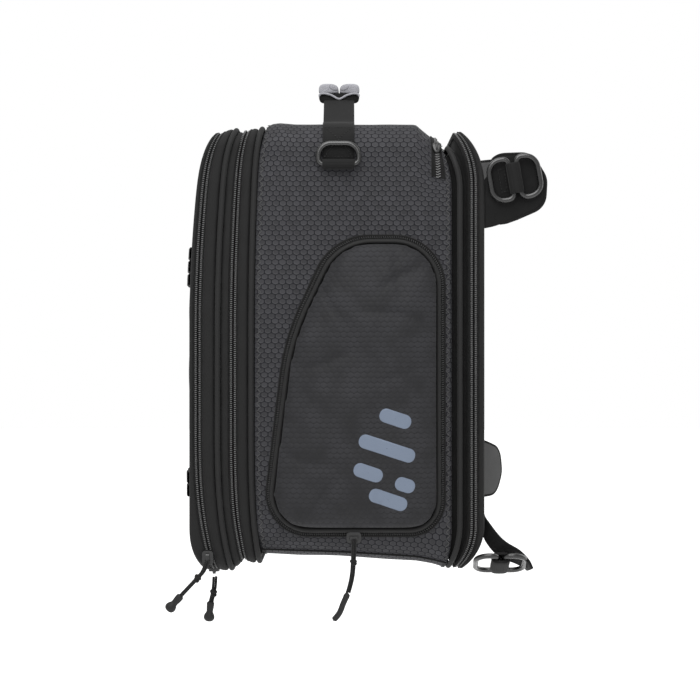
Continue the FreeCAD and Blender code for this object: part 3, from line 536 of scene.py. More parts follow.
def scatter(name, template, places, material):
    """Copies of a small template, one for each (origin, x axis, y axis, z axis), in one mesh."""
    shape, faces = template
    points, all_faces = [], []
    for k, (origin, x, y, z) in enumerate(places):
        points.append(np.asarray(origin) + shape @ np.array([x, y, z]))
        shift = k * len(shape)
        all_faces += [tuple(index + shift for index in face) for face in faces]
    return piece(name, np.concatenate(points), all_faces, material)


def from_ends(count):
    """For each of a row of points, how many points it is from the nearer end."""
    return np.minimum(np.arange(count), np.arange(count)[::-1])


def resample(points, spacing, closed=False, phase=0.0):
    """Points at equal spacing along a line, with their directions."""
    points = np.asarray(points, float)
    path = np.vstack([points, points[:1]]) if closed else points
    lengths = running(path)
    count = max(2, int(lengths[-1] / spacing))
    at = (np.arange(count) + phase) * lengths[-1] / count
    placed = np.array([np.interp(at, lengths, path[:, k]) for k in range(3)]).T
    ahead = np.array([np.interp(np.minimum(at + 0.5, lengths[-1]), lengths, path[:, k]) for k in range(3)]).T
    behind = np.array([np.interp(np.maximum(at - 0.5, 0), lengths, path[:, k]) for k in range(3)]).T
    direction = ahead - behind
    return placed, direction / np.linalg.norm(direction, axis=1)[:, None]


def finish_piece(obj, body, slot_name, *nodes):
    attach(obj, body)
    if nodes:
        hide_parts(*nodes)
    return obj


# ---------------------------------------------------------------- the bag's outlines and how its layers sit
OUTLINES = {"front": (148, -173, 171, 14), "main": (150, -167, 176, 24), "base": (149, -172, 171, 20)}
# how far each place along X (at mid height) stands above its outline at the top, and above it at the bottom
TOP_RISE = [(-234, 0), (-226, 1), (-213, 2.8), (-209, 2), (-204, 0.2), (-199, 3), (-193, 3.6), (-187, 2.6),
            (-184, 3.4), (-182, 3.0)]
BOTTOM_RISE = [(-226, 0), (-213, 0), (-206, 2.5), (-200, 7), (-193, 6), (-187, 6), (-184, 7), (-182, 7)]
SHELL_TOP = [(-182, 0.5), (-176, 3.4), (-168, 4.2), (-150, 3.2), (-55, 2.9), (-48, -3), (-43, -7), (-38, -9),
             (-31, -12), (-27, -14.5)]
SHELL_BOTTOM = [(-182, 5.5), (-177, 5.5), (-114, 3.5), (-68, 0.7), (-54, -0.3), (-40, -3), (-28, -5.5)]
REAR_TOP = [(-27, -12), (-19, -11), (-15, -7), (-13, 1.5), (0, 1.8)]
REAR_BOTTOM = [(-27, 0), (-19, 1.5), (-15, 2), (-13, -0.5), (0, -0.8)]
RISES = {"front": (TOP_RISE, BOTTOM_RISE), "main": (SHELL_TOP, SHELL_BOTTOM), "base": (REAR_TOP, REAR_BOTTOM)}


def ease(value, low, high):
    t = np.clip((np.asarray(value, float) - low) / (high - low), 0, 1)
    return t * t * (3 - 2 * t)


def curl(x, z):
    """How far a point moves along X where the stuffed ends curl in."""
    x, z = np.asarray(x, float), np.asarray(z, float)
    top = 11 * np.clip((z - 15) / 156, 0, 1.1) ** 2 + 8.5 * np.clip((z - 118) / 53, 0, 1.15) ** 3.3
    low_zip = 13.5 * np.clip((-z - 60) / 113, 0, 1.05) ** 2.8
    low_face = 12.6 * np.clip((-z - 138) / 36, 0, 1.05) ** 2.6
    face = np.clip((-230 - x) / 3.2, 0, 1)
    share = np.clip((-150 - x) / 83.2, 0, 1.05)
    front = share * top + np.clip((-150 - x) / 76.6, 0, 1.1) * low_zip * (1 - face) + low_face * face
    back = np.clip((x + 41) / 39, 0, 1.1)
    rear = 17 * np.clip((z - 128) / 43, 0, 1.1) ** 2.2 + 17 * np.clip((-z - 138) / 35, 0, 1.1) ** 2
    return np.where(x < -150, front, -back * rear)


def settle(kind, x, y, z):
    """Where a point of a layer really lies, from its place along X at mid height and in its outline."""
    top, bottom = RISES[kind]
    x, z = np.broadcast_arrays(np.asarray(x, float), np.asarray(z, float))
    rise = np.interp(x, *zip(*top)) * ease(z, 110, 168) + np.interp(x, *zip(*bottom)) * ease(-z, 120, 164)
    return np.stack([x + curl(x, z), np.broadcast_to(y, x.shape), z + rise], -1)


def rounded_box(kind, step=3.0):
    """Points and outward normals round an outline in the YZ plane, from its bottom middle."""
    half, bottom, top, corner = OUTLINES[kind]
    centres = [(-half + corner, bottom + corner), (-half + corner, top - corner),
               (half - corner, top - corner), (half - corner, bottom + corner)]
    stops = [((0.0, bottom), (0.0, -1.0))]
    for (cy, cz), start in zip(centres, (270, 180, 90, 0)):
        pieces = max(8, int(corner * math.pi / 2 / 1.7))
        for k in range(pieces + 1):
            a = math.radians(start - 90 * k / pieces)
            normal = (math.cos(a), math.sin(a))
            stops.append(((cy + corner * normal[0], cz + corner * normal[1]), normal))
    stops.append(((0.0, bottom), (0.0, -1.0)))
    points, normals = [], []
    for (p, n), (q, m) in zip(stops, stops[1:]):
        p, q, n, m = np.array(p), np.array(q), np.array(n), np.array(m)
        count = max(1, int(np.linalg.norm(q - p) / step))
        for k in range(count):
            points.append(p + (q - p) * k / count)
            normal = n + (m - n) * k / count
            normals.append(normal / np.linalg.norm(normal))
    return np.array(points), np.array(normals)


RINGS = {kind: rounded_box(kind) for kind in OUTLINES}


def ring_line(kind, x, out):
    """The settled line round the bag at one place along X, out from its outline."""
    points, normals = RINGS[kind]
    place = points + normals * out
    return settle(kind, x, place[:, 0], place[:, 1])


def unevenness(points, scale):
    """Smooth noise at each point, -1 to 1, with lumps about scale millimetres long."""
    return np.array([noise.noise(Vector(point) / scale) for point in points])


def pucker(rows, size, scale, seed):
    """Small uneven folds: moves points along Y and Z away from the middle of the bag."""
    rows = np.asarray(rows, float)
    flat = rows.reshape(-1, 3)
    for point in flat:
        shift = noise.noise(Vector(point) / scale + Vector((seed, 0, 0))) * size
        radial = Vector((0, point[1], point[2]))
        if abs(point[1]) > 100 or abs(point[2]) > 120:
            sideways = math.copysign(1, point[1]) if abs(point[1]) > abs(point[2]) - 24 else 0
            upwards = math.copysign(1, point[2]) if abs(point[2]) > abs(point[1]) else 0
            radial = Vector((0, sideways, upwards))
        if radial.length > 0:
            radial.normalize()
        point += np.array(radial) * shift
    return flat.reshape(rows.shape)


def band(name, kind, profile, body, material, slot_name, nodes=(), wall=4.0, folds=0.0, seed=1.0):
    """A fabric ring round the bag: profile is (place along X, out from the outline), front to rear."""
    front, rear = profile[0][0], profile[-1][0]
    full = [(front + 0.3, -wall)] + list(profile) + [(rear - 0.3, -wall)]
    rows = np.array([ring_line(kind, x, out) for x, out in full])
    if folds:
        rows = pucker(rows, folds, 16.0, seed)
    places = [0.0]
    for (x, out), (x2, out2) in zip(full, full[1:]):
        places.append(places[-1] + math.hypot(x2 - x, out2 - out))
    places.append(places[-1] + rear - front)
    lengths = running(rows[len(rows) // 2], True)
    obj = loft(name, rows, places, lengths, material, closed=True, shut=True)
    return finish_piece(obj, body, slot_name, *nodes)


def piping(name, kind, x, out, radius, body, nodes=()):
    obj = tube(name, ring_line(kind, x, out), radius, PIPING, closed=True, sides=14, first=(1, 0, 0))
    return finish_piece(obj, body, "piping", *nodes)


def curve_stretch(a, b, c, d, per):
    """Points on a Catmull-Rom line from b up to but not including c."""
    stretch = []
    for k in range(per):
        t = k / per
        stretch.append(0.5 * (2 * b + (c - a) * t + (2 * a - 5 * b + 4 * c - d) * t ** 2
                              + (3 * b - a - 3 * c + d) * t ** 3))
    return stretch


def smooth_profile(points, per=3):
    """More points along a profile, on a Catmull-Rom line through the ones given."""
    pts = [np.array(p, float) for p in points]
    pts = [2 * pts[0] - pts[1]] + pts + [2 * pts[-1] - pts[-2]]
    result = []
    for a, b, c, d in zip(pts, pts[1:], pts[2:], pts[3:]):
        result += curve_stretch(a, b, c, d, per)
    result.append(pts[-2])
    return [tuple(p) for p in result]


TOOTH_SHIFT = 1.5  # from the zip's middle to the middle of a tooth's outer loop


def zip_tooth_row(name, kind, x, out, body, side, spacing=1.6, leave=None, width=0.95):
    """One row of a coil zip's teeth round the bag; leave is half the bottom stretch without a zip."""
    line = ring_line(kind, x, out)
    placed, along = resample(line, spacing, True, 0.5 if side > 0 else 0.0)
    places = []
    for point, direction in zip(placed, along):
        if leave and point[2] < -150 and abs(point[1]) < leave:
            continue
        across = np.array([1.0, 0, 0]) - direction * direction[0]
        across /= np.linalg.norm(across)
        lean = across * 0.99 + direction * 0.12 * side
        normal = np.cross(direction, across)
        if normal[1] * point[1] + normal[2] * point[2] < 0:
            normal = -normal
        places.append((point + across * side * TOOTH_SHIFT, lean, np.cross(normal, lean), normal))
    obj = scatter(name, capsule(width, 0.46, 0.6, 6, 3), places, TEETH)
    return finish_piece(obj, body, "zip_tape")


def stitch_row(name, lines, spacing, body, slot_name, material=None, radius=0.3, cross=0.0, closed=True):
    """Stitches along a line, or a zigzag of them where cross is its width along X."""
    places = []
    for line in lines:
        placed, along = resample(line, spacing, closed)
        for k, (point, direction) in enumerate(zip(placed, along)):
            if cross:
                side = 1 if k % 2 else -1
                lean = direction * spacing + np.array([cross * side, 0, 0])
                length = np.linalg.norm(lean) * 0.5
                lean /= np.linalg.norm(lean)
            else:
                lean, length = direction, spacing * 0.36
            up = np.array([0, point[1], 0.0]) if abs(direction[1]) < 0.7 else np.array([0, 0, point[2]])
            up = up - lean * (up @ lean)
            up /= np.linalg.norm(up)
            places.append((point, lean * length / radius, np.cross(up, lean), up))
    template = capsule(radius, radius, radius * 0.8, 6, 3)
    obj = scatter(name, template, places, material or THREAD)
    return finish_piece(obj, body, slot_name)


# ---------------------------------------------------------------- front section, lid and expansion zip
def zip_chain(name, kind, centre, front, rear, front_body, rear_body, front_node, rear_node, leave=None):
    """Both halves of a zip that runs round the bag."""
    half = smooth_profile([(front, -0.4), (front + 0.3, 0.5), (front + 0.8, 0.4), (front + 1.1, -0.8),
                           (centre - 1.6, -1.15), (centre - 0.25, -1.25)], 2)
    band(name + "_tape_front", kind, half, front_body, TAPE, "zip_tape", front_node, wall=3.2)
    half = smooth_profile([(centre + 0.25, -1.25), (centre + 1.6, -1.15), (rear - 1.1, -0.8),
                           (rear - 0.8, 0.4), (rear - 0.3, 0.5), (rear, -0.4)], 2)
    band(name + "_tape_rear", kind, half, rear_body, TAPE, "zip_tape", rear_node, wall=3.2)
    zip_tooth_row(name + "_teeth_front", kind, centre - 0.1, -0.65, front_body, -1, leave=leave)
    zip_tooth_row(name + "_teeth_rear", kind, centre + 0.1, -0.65, rear_body, 1, leave=leave)
    for word, x, body in (("front", centre - 2.35, front_body), ("rear", centre + 2.35, rear_body)):
        stitch_row(f"{name}_stitch_{word}", [ring_line(kind, x, -0.85)], 2.0, body, "zip_tape",
                   DARK_THREAD, 0.28)


def flat_wall(name, kind, insets, x, steps_back, rim, body, material, nodes=(), inner=False):
    """A cloth wall across an outline: it stands at x, and moves by steps_back between rim's two insets."""
    rows = []
    for inset, points in zip(insets, inside_rings(kind, insets)):
        rows.append(settle(kind, x + steps_back * float(ease(inset, *rim)), points[:, 0], points[:, 1]))
    lengths = running(rows[0], True)
    wall = loft(name, rows[::-1] if inner else rows, insets, lengths, material)
    planar_uv(wall, (1, 2))
    finish_piece(wall, body, "band_fabric", *nodes)


HINGE_HALF = 66.0  # half the stretch at the bottom edge that has no zip


def make_front_layers():
    zip_chain("lid_zip", "front", -226.6, -230.2, -223.2, "lid", "front_section", ("lid_zip_lid",),
              ("lid_zip_frame",), leave=HINGE_HALF + 1)
    profile = smooth_profile([(-223.2, -0.6), (-222.8, 0.3), (-221.8, 0.1), (-221, 0.5), (-218, 1.0),
                              (-215.5, 0.7), (-214.2, -0.4), (-213.7, -2.2), (-211, -2.4), (-208.6, -2.2),
                              (-208, -0.6), (-206.5, 0.3), (-204.5, 0.5), (-203, 0.2), (-202.4, -0.7)])
    band("front_band_cloth", "front", profile, "front_section", BAND, "band_fabric", ("front_band",), wall=5,
         folds=0.7, seed=2)
    piping("lid_piping_cord", "front", -211, 0.1, 2.15, "front_section", ("lid_piping",))
    zip_chain("expansion_zip", "front", -198.9, -202.3, -195.5, "front_section", "bag",
              ("expansion_zip_front",), ())
    profile = smooth_profile([(-195.5, -0.5), (-195, 0.35), (-194.2, 0.0), (-193, 0.5), (-190.5, 0.9),
                              (-188.4, 0.3), (-187.2, -1.6), (-184.4, -2.4), (-182.2, -2.2)])
    band("expansion_facing", "front", profile, "bag", BAND, "band_fabric", ("expansion_zip_rear",), wall=5,
         folds=0.8, seed=3)
    piping("front_piping_cord", "front", -184.5, 0.4, 2.2, "bag", ("front_piping",))


def make_gusset():
    """The folded cloth that the expansion zip lets out; it stretches between bag and front section."""
    profile = [(-184, -5.6), (-187, -6.2), (-190, -9.4), (-193, -6.0), (-196.5, -9.6), (-200, -6.2),
               (-203.5, -9.4), (-207, -6.4), (-212, -5.6)]
    profile = smooth_profile(profile, 4)
    rows = np.array([ring_line("front", x, out) for x, out in profile])
    rows = pucker(rows, 0.9, 14.0, 5.0)
    obj = loft("expansion_gusset_cloth", rows, running(profile), running(rows[0], True), DARK)
    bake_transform(obj)
    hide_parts("expansion_gusset")


def lid_dome(y, z):
    """How far the padded lid bulges beyond its edge."""
    across = 1 - np.clip(np.abs(y) / 146, 0, 1) ** 3
    up = 1 - np.clip(np.abs(z + 1) / 170, 0, 1) ** 3.5
    return 5.0 * across * up


def inside_rings(kind, insets):
    """The outline's points drawn in towards the middle, one set for each inset, keeping its corners round."""
    points, normals = RINGS[kind]
    half, bottom, top, corner = OUTLINES[kind]
    middle = (top + bottom) / 2
    sets = []
    for inset in insets:
        if inset <= corner - 2:
            sets.append(points - normals * inset)
            continue
        base = points - normals * (corner - 2)
        share = (inset - corner + 2) / (half - corner + 2)
        sets.append(np.array([0, middle]) + (base - np.array([0, middle])) * (1 - share))
    return sets


LID_LINING_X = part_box("lid_board")[1][0] / MM + 1.3  # just clear of the stiffening board


def make_lid():
    """Padded lid: rounded edge, crowned face, and its cloth-lined inner side."""
    insets = [0, 0.4, 1.2, 2.4, 4.0, 6.5, 10, 15, 22, 31, 42, 55, 70, 88, 108, 128, 142, 147.5]
    rows = [ring_line("front", -230.1, -1.2), ring_line("front", -230.3, 0.1),
            ring_line("front", -231.2, 0.6), ring_line("front", -232.2, 0.35)]
    for inset, points in zip(insets[2:], inside_rings("front", insets)[2:]):
        y, z = points[:, 0], points[:, 1]
        x = -233.2 + 0.6 * math.exp(-((inset - 5.0) / 1.6) ** 2) - lid_dome(y, z) * float(ease(inset, 2, 40))
        rows.append(settle("front", x, y, z))
    rows = pucker(np.array(rows), 0.25, 20, 9.0)
    shallow = np.array([unevenness(row, 34.0) for row in rows])
    rows[:, :, 0] += shallow * 0.9 * np.clip(np.arange(len(rows)) - 5, 0, 4)[:, None] / 4
    lengths = running(rows[1], True)
    face = loft("lid_cover", rows, np.concatenate([[0], np.cumsum([1.3, 1.1, 1.2] + [float(b - a) for a,
                                                                                     b in zip(insets[1:-1],
                                                                                              insets[2:])])]),
                lengths, BAND)
    planar_uv(face, (1, 2))
    finish_piece(face, "lid", "band_fabric", "lid_shell")
    rows = []
    for inset, points in zip((1.6, 3, 8, 20, 45, 80, 120, 147),
                             inside_rings("front", (1.6, 3, 8, 20, 45, 80, 120, 147))):
        x = LID_LINING_X - 1.2 * float(1 - ease(inset, 2, 8))
        rows.append(settle("front", x, points[:, 0], points[:, 1]))
    rows = np.array(rows)
    rows[1:, :, 0] += 0.5 * np.array([unevenness(row, 22.0) for row in rows[1:]])
    back = loft("lid_lining", rows, range(len(rows)), running(rows[0], True), LINING)
    planar_uv(back, (1, 2))
    finish_piece(back, "lid", "lining_fabric")
    stitch_row("lid_edge_stitch", [ring_line("front", -232.9, -2.6)], 3.0, "lid", "band_fabric", DARK_THREAD)


def planar_uv(obj, axes):
    """Lays the cloth's coordinates out flat on two of the piece's axes."""
    mesh = obj.data
    layer = mesh.uv_layers.active or mesh.uv_layers.new(name="cloth")
    places = np.array([v.co for v in mesh.vertices])
    corners = np.array([loop.vertex_index for loop in mesh.loops])
    layer.data.foreach_set("uv", places[corners][:, list(axes)].ravel())


LASH_HEIGHTS = (76.5, 66.0, 55.5, -100.5, -111.0)


def make_lash_strips():
    """Rows of narrow webbing across the lid, bowed a little between their tacks."""
    ys = np.linspace(-142, 142, 143)
    tacks = np.linspace(-140, 140, 9)
    places = []
    gap = np.min(np.abs(ys[:, None] - tacks[None, :]), axis=1)
    bow = 0.9 * np.sin(np.clip(gap / 17.5, 0, 1) * math.pi / 2) ** 1.2
    outline = [(-4.4, 0), (-4.4, 1.3), (-3.9, 1.6), (0, 1.65), (3.9, 1.6), (4.4, 1.3), (4.4, 0)]
    for number, height in enumerate(LASH_HEIGHTS):
        rows = []
        for offset, thick in outline:
            z = np.full_like(ys, height + offset)
            x = -233.0 - lid_dome(ys, z) - thick - bow * (thick > 0)
            rows.append(settle("front", x, ys, z))
        strip = loft(f"lash_strip_{number}", rows, [0, 1.3, 2, 6, 10, 10.7, 12], ys, WEBBING, closed=False)
        nodes = ("lash_strips",) if number == 0 else ()
        finish_piece(strip, "lid", "webbing", *nodes)
        for tack in tacks:
            for k in range(7):
                z = height - 3.3 + 1.1 * k
                x = -235.0 - float(lid_dome(tack, z))
                point = settle("front", x, tack, z)
                places.append((point, np.array([0, 6.0, 1.2]), np.array([0, -0.2, 1.0]),
                               np.array([-1.0, 0, 0])))
    obj = scatter("lash_tacks", capsule(0.32, 0.3, 0.3, 6, 3), places, THREAD)
    finish_piece(obj, "lid", "webbing")


def make_lid_hinge():
    """The strip of cloth at the bottom edge that the lid turns on."""
    ys = np.linspace(-HINGE_HALF, HINGE_HALF, 40)
    places = [(-221.5, 0.2), (-223.5, 0.5), (-225, 0.1), (-226.6, 0.35), (-228.2, 0.1), (-229.8, 0.5),
              (-231, 0.2)]
    rows = []
    for x, out in smooth_profile(places, 3):
        rows.append(settle("front", x, ys, np.full_like(ys, -173.0 - out)))
    obj = loft("lid_hinge_strip", rows, range(len(rows)), ys, BAND, closed=False)
    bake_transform(obj)


# ---------------------------------------------------------------- main shell
def shell_points(x, out=0.0):
    """The main shell's line at one place along X, with its crowned top."""
    points, normals = RINGS["main"]
    place = points + normals * out
    return settle("main", x, place[:, 0], place[:, 1])


def make_shell():
    edge = [(-181.9, -2.6), (-181.7, -1.2), (-181.1, -0.3), (-180.0, 0.1)]
    places = edge + [(x, 0.15) for x in np.linspace(-177.5, -33.5, 56)]
    places += [(-31, 0.1), (-29, 0.0), (-28, -0.6), (-27.4, -2.0), (-27.0, -3.6)]
    rows = []
    for x, out in places:
        line = shell_points(x, out)
        y, z = line[:, 1], line[:, 2]
        # a slack fold behind the pocket and at the strap, and unevenness everywhere else
        fold = 1.6 * math.exp(-((x + 38.5) / 5.0) ** 2) * ease(z, 20, 70) * (1 - ease(z, 118, 138))
        side = np.abs(y) > 146
        line[:, 1] -= np.sign(y) * fold * side
        wavy = unevenness(line, 30.0) * 0.55
        free = float(ease(x, -181, -172) * (1 - ease(x, -34, -28)))
        line[:, 1] += np.sign(y) * wavy * free * side
        line[:, 2] += np.sign(z) * wavy * free * (np.abs(y) < 130) * (np.abs(z) > 130) * 1.5
        rows.append(line)
    rows = np.array(rows)
    across = [x for x, out in places]
    lengths = running(rows[len(rows) // 2], True)
    obj = loft("main_shell_cloth", rows, across, lengths, HEX)
    finish_piece(obj, "bag", "hex_fabric", "main_shell")
    for word, x in (("front", -178.6), ("rear", -30.2)):
        lines = [shell_points(x, 0.35)]
        stitch_row(f"shell_zigzag_{word}", lines, 3.0, "bag", "hex_fabric", FAINT_ZIGZAG, 0.3, cross=3.2)
    lower = []
    for x in np.linspace(-180, -28.5, 60):
        line = shell_points(x, 0.25)
        near = line[(line[:, 1] < 0) & (line[:, 2] < -100)]
        target = line[:, 2].min() + 4.6
        k = np.argmin(np.abs(near[:, 2] - target))
        lower.append(near[k])
    lower = np.array(lower)
    for k in range(4):
        lower[1:-1] = (lower[:-2] + lower[1:-1] * 2 + lower[2:]) / 4
    for word, side in (("left", 1), ("right", -1)):
        seam = lower * np.array([1, side, 1])
        obj = tube(f"bottom_seam_{word}", seam, 0.9, DARK, sides=10)
        finish_piece(obj, "bag", "band_fabric")


def make_floor_and_lining():
    """Inner cloth tray and the bag's own back wall."""
    half, bottom, top = 141.5, -158.5, 166.0
    corners = [(-half, bottom, 18), (half, bottom, 18), (half, top, 18), (-half, top, 18)]
    line = round_polygon(corners, 6)
    rows, places = [], []
    for x in list(np.linspace(-177, -52, 26)) + [-46, -43, -42]:
        pull = {-43: 2.5, -42: 6}.get(x, 0)
        middle = np.array([0, (bottom + top) / 2])
        direction = line - middle
        direction /= np.linalg.norm(direction, axis=1)[:, None]
        flat = line - direction * (pull + 2.0 * math.exp(-((x + 178) / 3) ** 2))
        row = np.stack([np.full(len(flat), float(x)), flat[:, 0], flat[:, 1]], -1)
        row[:, 1:] -= direction * (0.8 + unevenness(row, 26.0))[:, None]
        rows.append(row)
        places.append(x)
    centre = np.array([-42, 0, (bottom + top) / 2])
    for share in (0.85, 0.6, 0.35, 0.12, 0.01):
        row = centre + (rows[28] - centre) * np.array([1, share, share])
        row[:, 0] = -42 - 0.6 + 0.8 * unevenness(row, 40.0)
        rows.append(row)
        places.append(places[-1] + 30)
    obj = loft("lining_cloth", rows, places, running(rows[0], True), LINING)
    finish_piece(obj, "bag", "lining_fabric", "lining")
    rim = [ring_line("main", -181.5, -2.8), ring_line("main", -180, -4.8), ring_line("main", -177, -7.0)]
    obj = loft("shell_facing", rim, [0, 3, 6], running(rim[0], True), DARK)
    finish_piece(obj, "bag", "band_fabric")
    insets = [2.5, 6, 14, 24, 45, 80, 120, 149]
    flat_wall("bag_back_cloth", "main", insets, -27.5, -6.5, (1, 7), "bag", DARK)


# ---------------------------------------------------------------- pull cords
LID_PULL_A = [(0.5, 0, -1), (0.3, 0, -7), (-0.6, 0, -13.5), (-2.4, 0, -20), (-3.4, 0, -26.5),
              (-4.1, 0, -32.8)]
LID_PULL_B = [(0, 0, -1), (-2, 0.2, -8.2), (-7.5, 0.3, -14), (-13, 0.4, -20), (-18.4, 0.4, -25.6),
              (-23.4, 0.4, -31.2)]
POCKET_PULL = [(0.2, 0, -1), (0, 0, -9.6), (-0.4, 0, -18.2), (-0.9, 0, -26.8), (-2.3, 0, -35),
               (-4.6, 0, -42.6)]
PULL_ASIDE = 0.12  # how far the cover's slanting edge pushes the right-hand pull aside


def strand(name, points):
    """One cord strand as a smooth open spline; points are millimetres."""
    data = bpy.data.curves.new(name, "CURVE")
    data.dimensions = "3D"
    data.bevel_depth = 1.0 * MM
    data.bevel_resolution = 4
    data.resolution_u = 8
    data.use_fill_caps = True
    spline = data.splines.new("NURBS")
    spline.points.add(len(points) - 1)
    for target, point in zip(spline.points, points):
        target.co = (point[0] * MM, point[1] * MM, point[2] * MM, 1)
    spline.order_u = 3
    spline.use_endpoint_u = True
    obj = bpy.data.objects.new(name, data)
    scene.collection.objects.link(obj)
    data.materials.append(CORD)
    return obj


def lathe(name, start, axis, profile, material, sides=28, wide=1.0):
    """A turned piece: profile is (along the axis, radius)."""
    start, axis = np.array(start, float), np.array(axis, float)
    axis /= np.linalg.norm(axis)
    profile = smooth_profile(profile, 3)
    line = np.array([start + axis * along for along, radius in profile])
    radii = [max(radius, 0.02) for along, radius in profile]
    _, one, two = line_frames(np.array([start, start + axis]), False)
    rings = []
    turns = np.arange(sides) * 2 * math.pi / sides
    for point, radius in zip(line, radii):
        rings.append([point + (one[0] * math.cos(a) + two[0] * math.sin(a) * wide) * radius for a in turns])
    around = np.append(turns, 2 * math.pi) * 4
    return loft(name, rings, [along for along, radius in profile], around, material)


def knot_piece(name, centre, axis, long, wide):
    """An overhand knot of the doubled cord: two wraps round a core, one of them crossing over."""
    axis = np.array(axis, float)
    axis /= np.linalg.norm(axis)
    _, one, two = line_frames(np.array([centre, np.array(centre) + axis]), False, first=(1, 0.2, 0))
    one, two = one[0], two[0]
    points = []
    for k in range(61):
        t = k / 60
        a = 2 * math.pi * (2.35 * t) + 0.6
        along = (t - 0.5) * (long - 2.6) + 0.7 * math.sin(a * 0.5)
        reach = (wide / 2 - 1.25) * (0.9 + 0.1 * math.sin(2 * a))
        points.append(np.array(centre) + axis * along + (one * math.cos(a) + two * math.sin(a)) * reach)
    radii = 1.25 * np.sqrt(np.clip(from_ends(61) / 3.0, 0.02, 1))
    wraps = tube(name, points, radii, CORD, sides=10)
    core = capsule(long / 2 - 0.6, wide / 2 - 0.9, wide / 2 - 0.9, 12, 5)
    inner = scatter(name + "_core", core, [(centre, axis, one, two)], CORD)
    return [wraps, inner]


def cord_pull(name, route, place, body, nodes, grip_kind, tucked=0.0):
    """Two strands, their knot and the moulded grip they end in.  tucked is how much is inside the grip."""
    place = np.array(place, float)
    line = np.array(route, float) + place
    strands = []
    apart = np.array([1.0, 0.5, 0.15])
    for word, side in (("a", 1), ("b", -1)):
        strands.append(strand(f"{name}_strand_{word}", line + apart * side))
    if grip_kind == "ball":
        parts = knot_piece(name + "_knot", line[2], line[3] - line[1], 7.5, 6.2)
        profile = [(-0.6, 0.3), (-0.5, 1.9), (0.0, 2.6), (1.0, 3.0), (4.0, 2.9), (7.0, 2.6), (8.2, 2.9),
                   (9.6, 3.7), (11.2, 4.25), (13.0, 4.15), (14.6, 3.1), (15.3, 1.6), (15.45, 0.1)]
        direction = (line[-1] - line[-2]) / np.linalg.norm(line[-1] - line[-2])
        grip = lathe(name + "_grip", line[-1] - direction * tucked, direction, profile, GRIP)
    else:
        parts = knot_piece(name + "_knot", line[2], (-0.05, 0, -1), 6.0, 6.0)
        neck = line[-1]
        bends = [(0, 0), (-3.6, -8), (-6.6, -15.4), (-11.4, -21.4)]
        path = np.array(smooth_profile([tuple(b) for b in bends], 10))
        points = [neck + np.array([x, 0, z]) for x, z in path]
        ends = np.array(running(points))
        radii = 2.3 * np.clip(1 - np.clip((1.6 - ends) / 1.6, 0, 1) ** 2, 0.08, 1) ** 0.5
        radii *= np.clip(1 - np.clip((ends - ends[-1] + 1.8) / 1.8, 0, 1) ** 2, 0.05, 1) ** 0.5
        radii += 0.22 * np.exp(-((ends - 3.2) / 0.8) ** 2)
        grip = tube(name + "_grip", points, radii, GRIP, sides=18, first=(0, 1, 0))
    for number, obj in enumerate(strands):
        finish_piece(obj, body, "pull_cord", *(nodes[:1] if number == 0 else ()))
    finish_piece(grip, body, "pull_grip", *nodes[1:])
    for obj in parts:
        finish_piece(obj, body, "pull_cord")


def make_pulls():
    cord_pull("lid_pull_a", LID_PULL_A, (-215, -125, -179.3), "lid_pull_a",
              ("lid_pull_cord_a", "lid_pull_grip_a"), "ball", 11.5)
    cord_pull("lid_pull_b", LID_PULL_B, (-218.6, -155.4, -164), "lid_pull_b",
              ("lid_pull_cord_b", "lid_pull_grip_b"), "ball", 4.0)
    cord_pull("pocket_pull_left", POCKET_PULL, (-104, -161.1, -146.6), "pocket_pull_left",
              ("pocket_pull_cord_left", "pocket_pull_grip_left"), "bar")
    aside = [(x + PULL_ASIDE * z, y, z) for x, y, z in POCKET_PULL]
    cord_pull("pocket_pull_right", aside, (-164.4, 161.1, -37.6), "pocket_pull_right",
              ("pocket_pull_cord_right", "pocket_pull_grip_right"), "bar")


# ---------------------------------------------------------------- side pockets
def pocket_corners(inset):
    """The pocket's outline, drawn in by inset from its rim."""
    i = inset
    return [(-121 + 0.9 * i, 90 - i, 46 - i), (-158.5 + 1.06 * i, 8, 190), (-177 + i, -146 + i, 34 - i),
            (-32.5 - i, -146 + i, 28 - i), (-32.5 - i, 90 - i, 40 - i)]


def pocket_line(inset, out, side, step=3.0):
    flat = round_polygon(pocket_corners(inset), step)
    return np.stack([flat[:, 0], np.full(len(flat), side * out), flat[:, 1]], -1)


def pocket_ring(name, profile, side, body, material, slot_name, nodes=()):
    """A strip round the pocket; profile is (inset, out from the middle of the bag)."""
    rows = []
    count = len(pocket_line(0, 150, side))
    for inset, out in profile:
        rows.append(resample_closed(pocket_line(inset, out, side), count))
    if side > 0:
        rows = rows[::-1]
    rows = np.array(rows)
    places = running(rows[:, 0])
    obj = loft(name, rows, places, running(rows[0], True), material)
    return finish_piece(obj, body, slot_name, *nodes)


def resample_closed(line, count):
    """The same number of points round a closed line."""
    path = np.vstack([line, line[:1]])
    lengths = running(path)
    at = np.arange(count) * lengths[-1] / count
    return np.array([np.interp(at, lengths, path[:, k]) for k in range(3)]).T


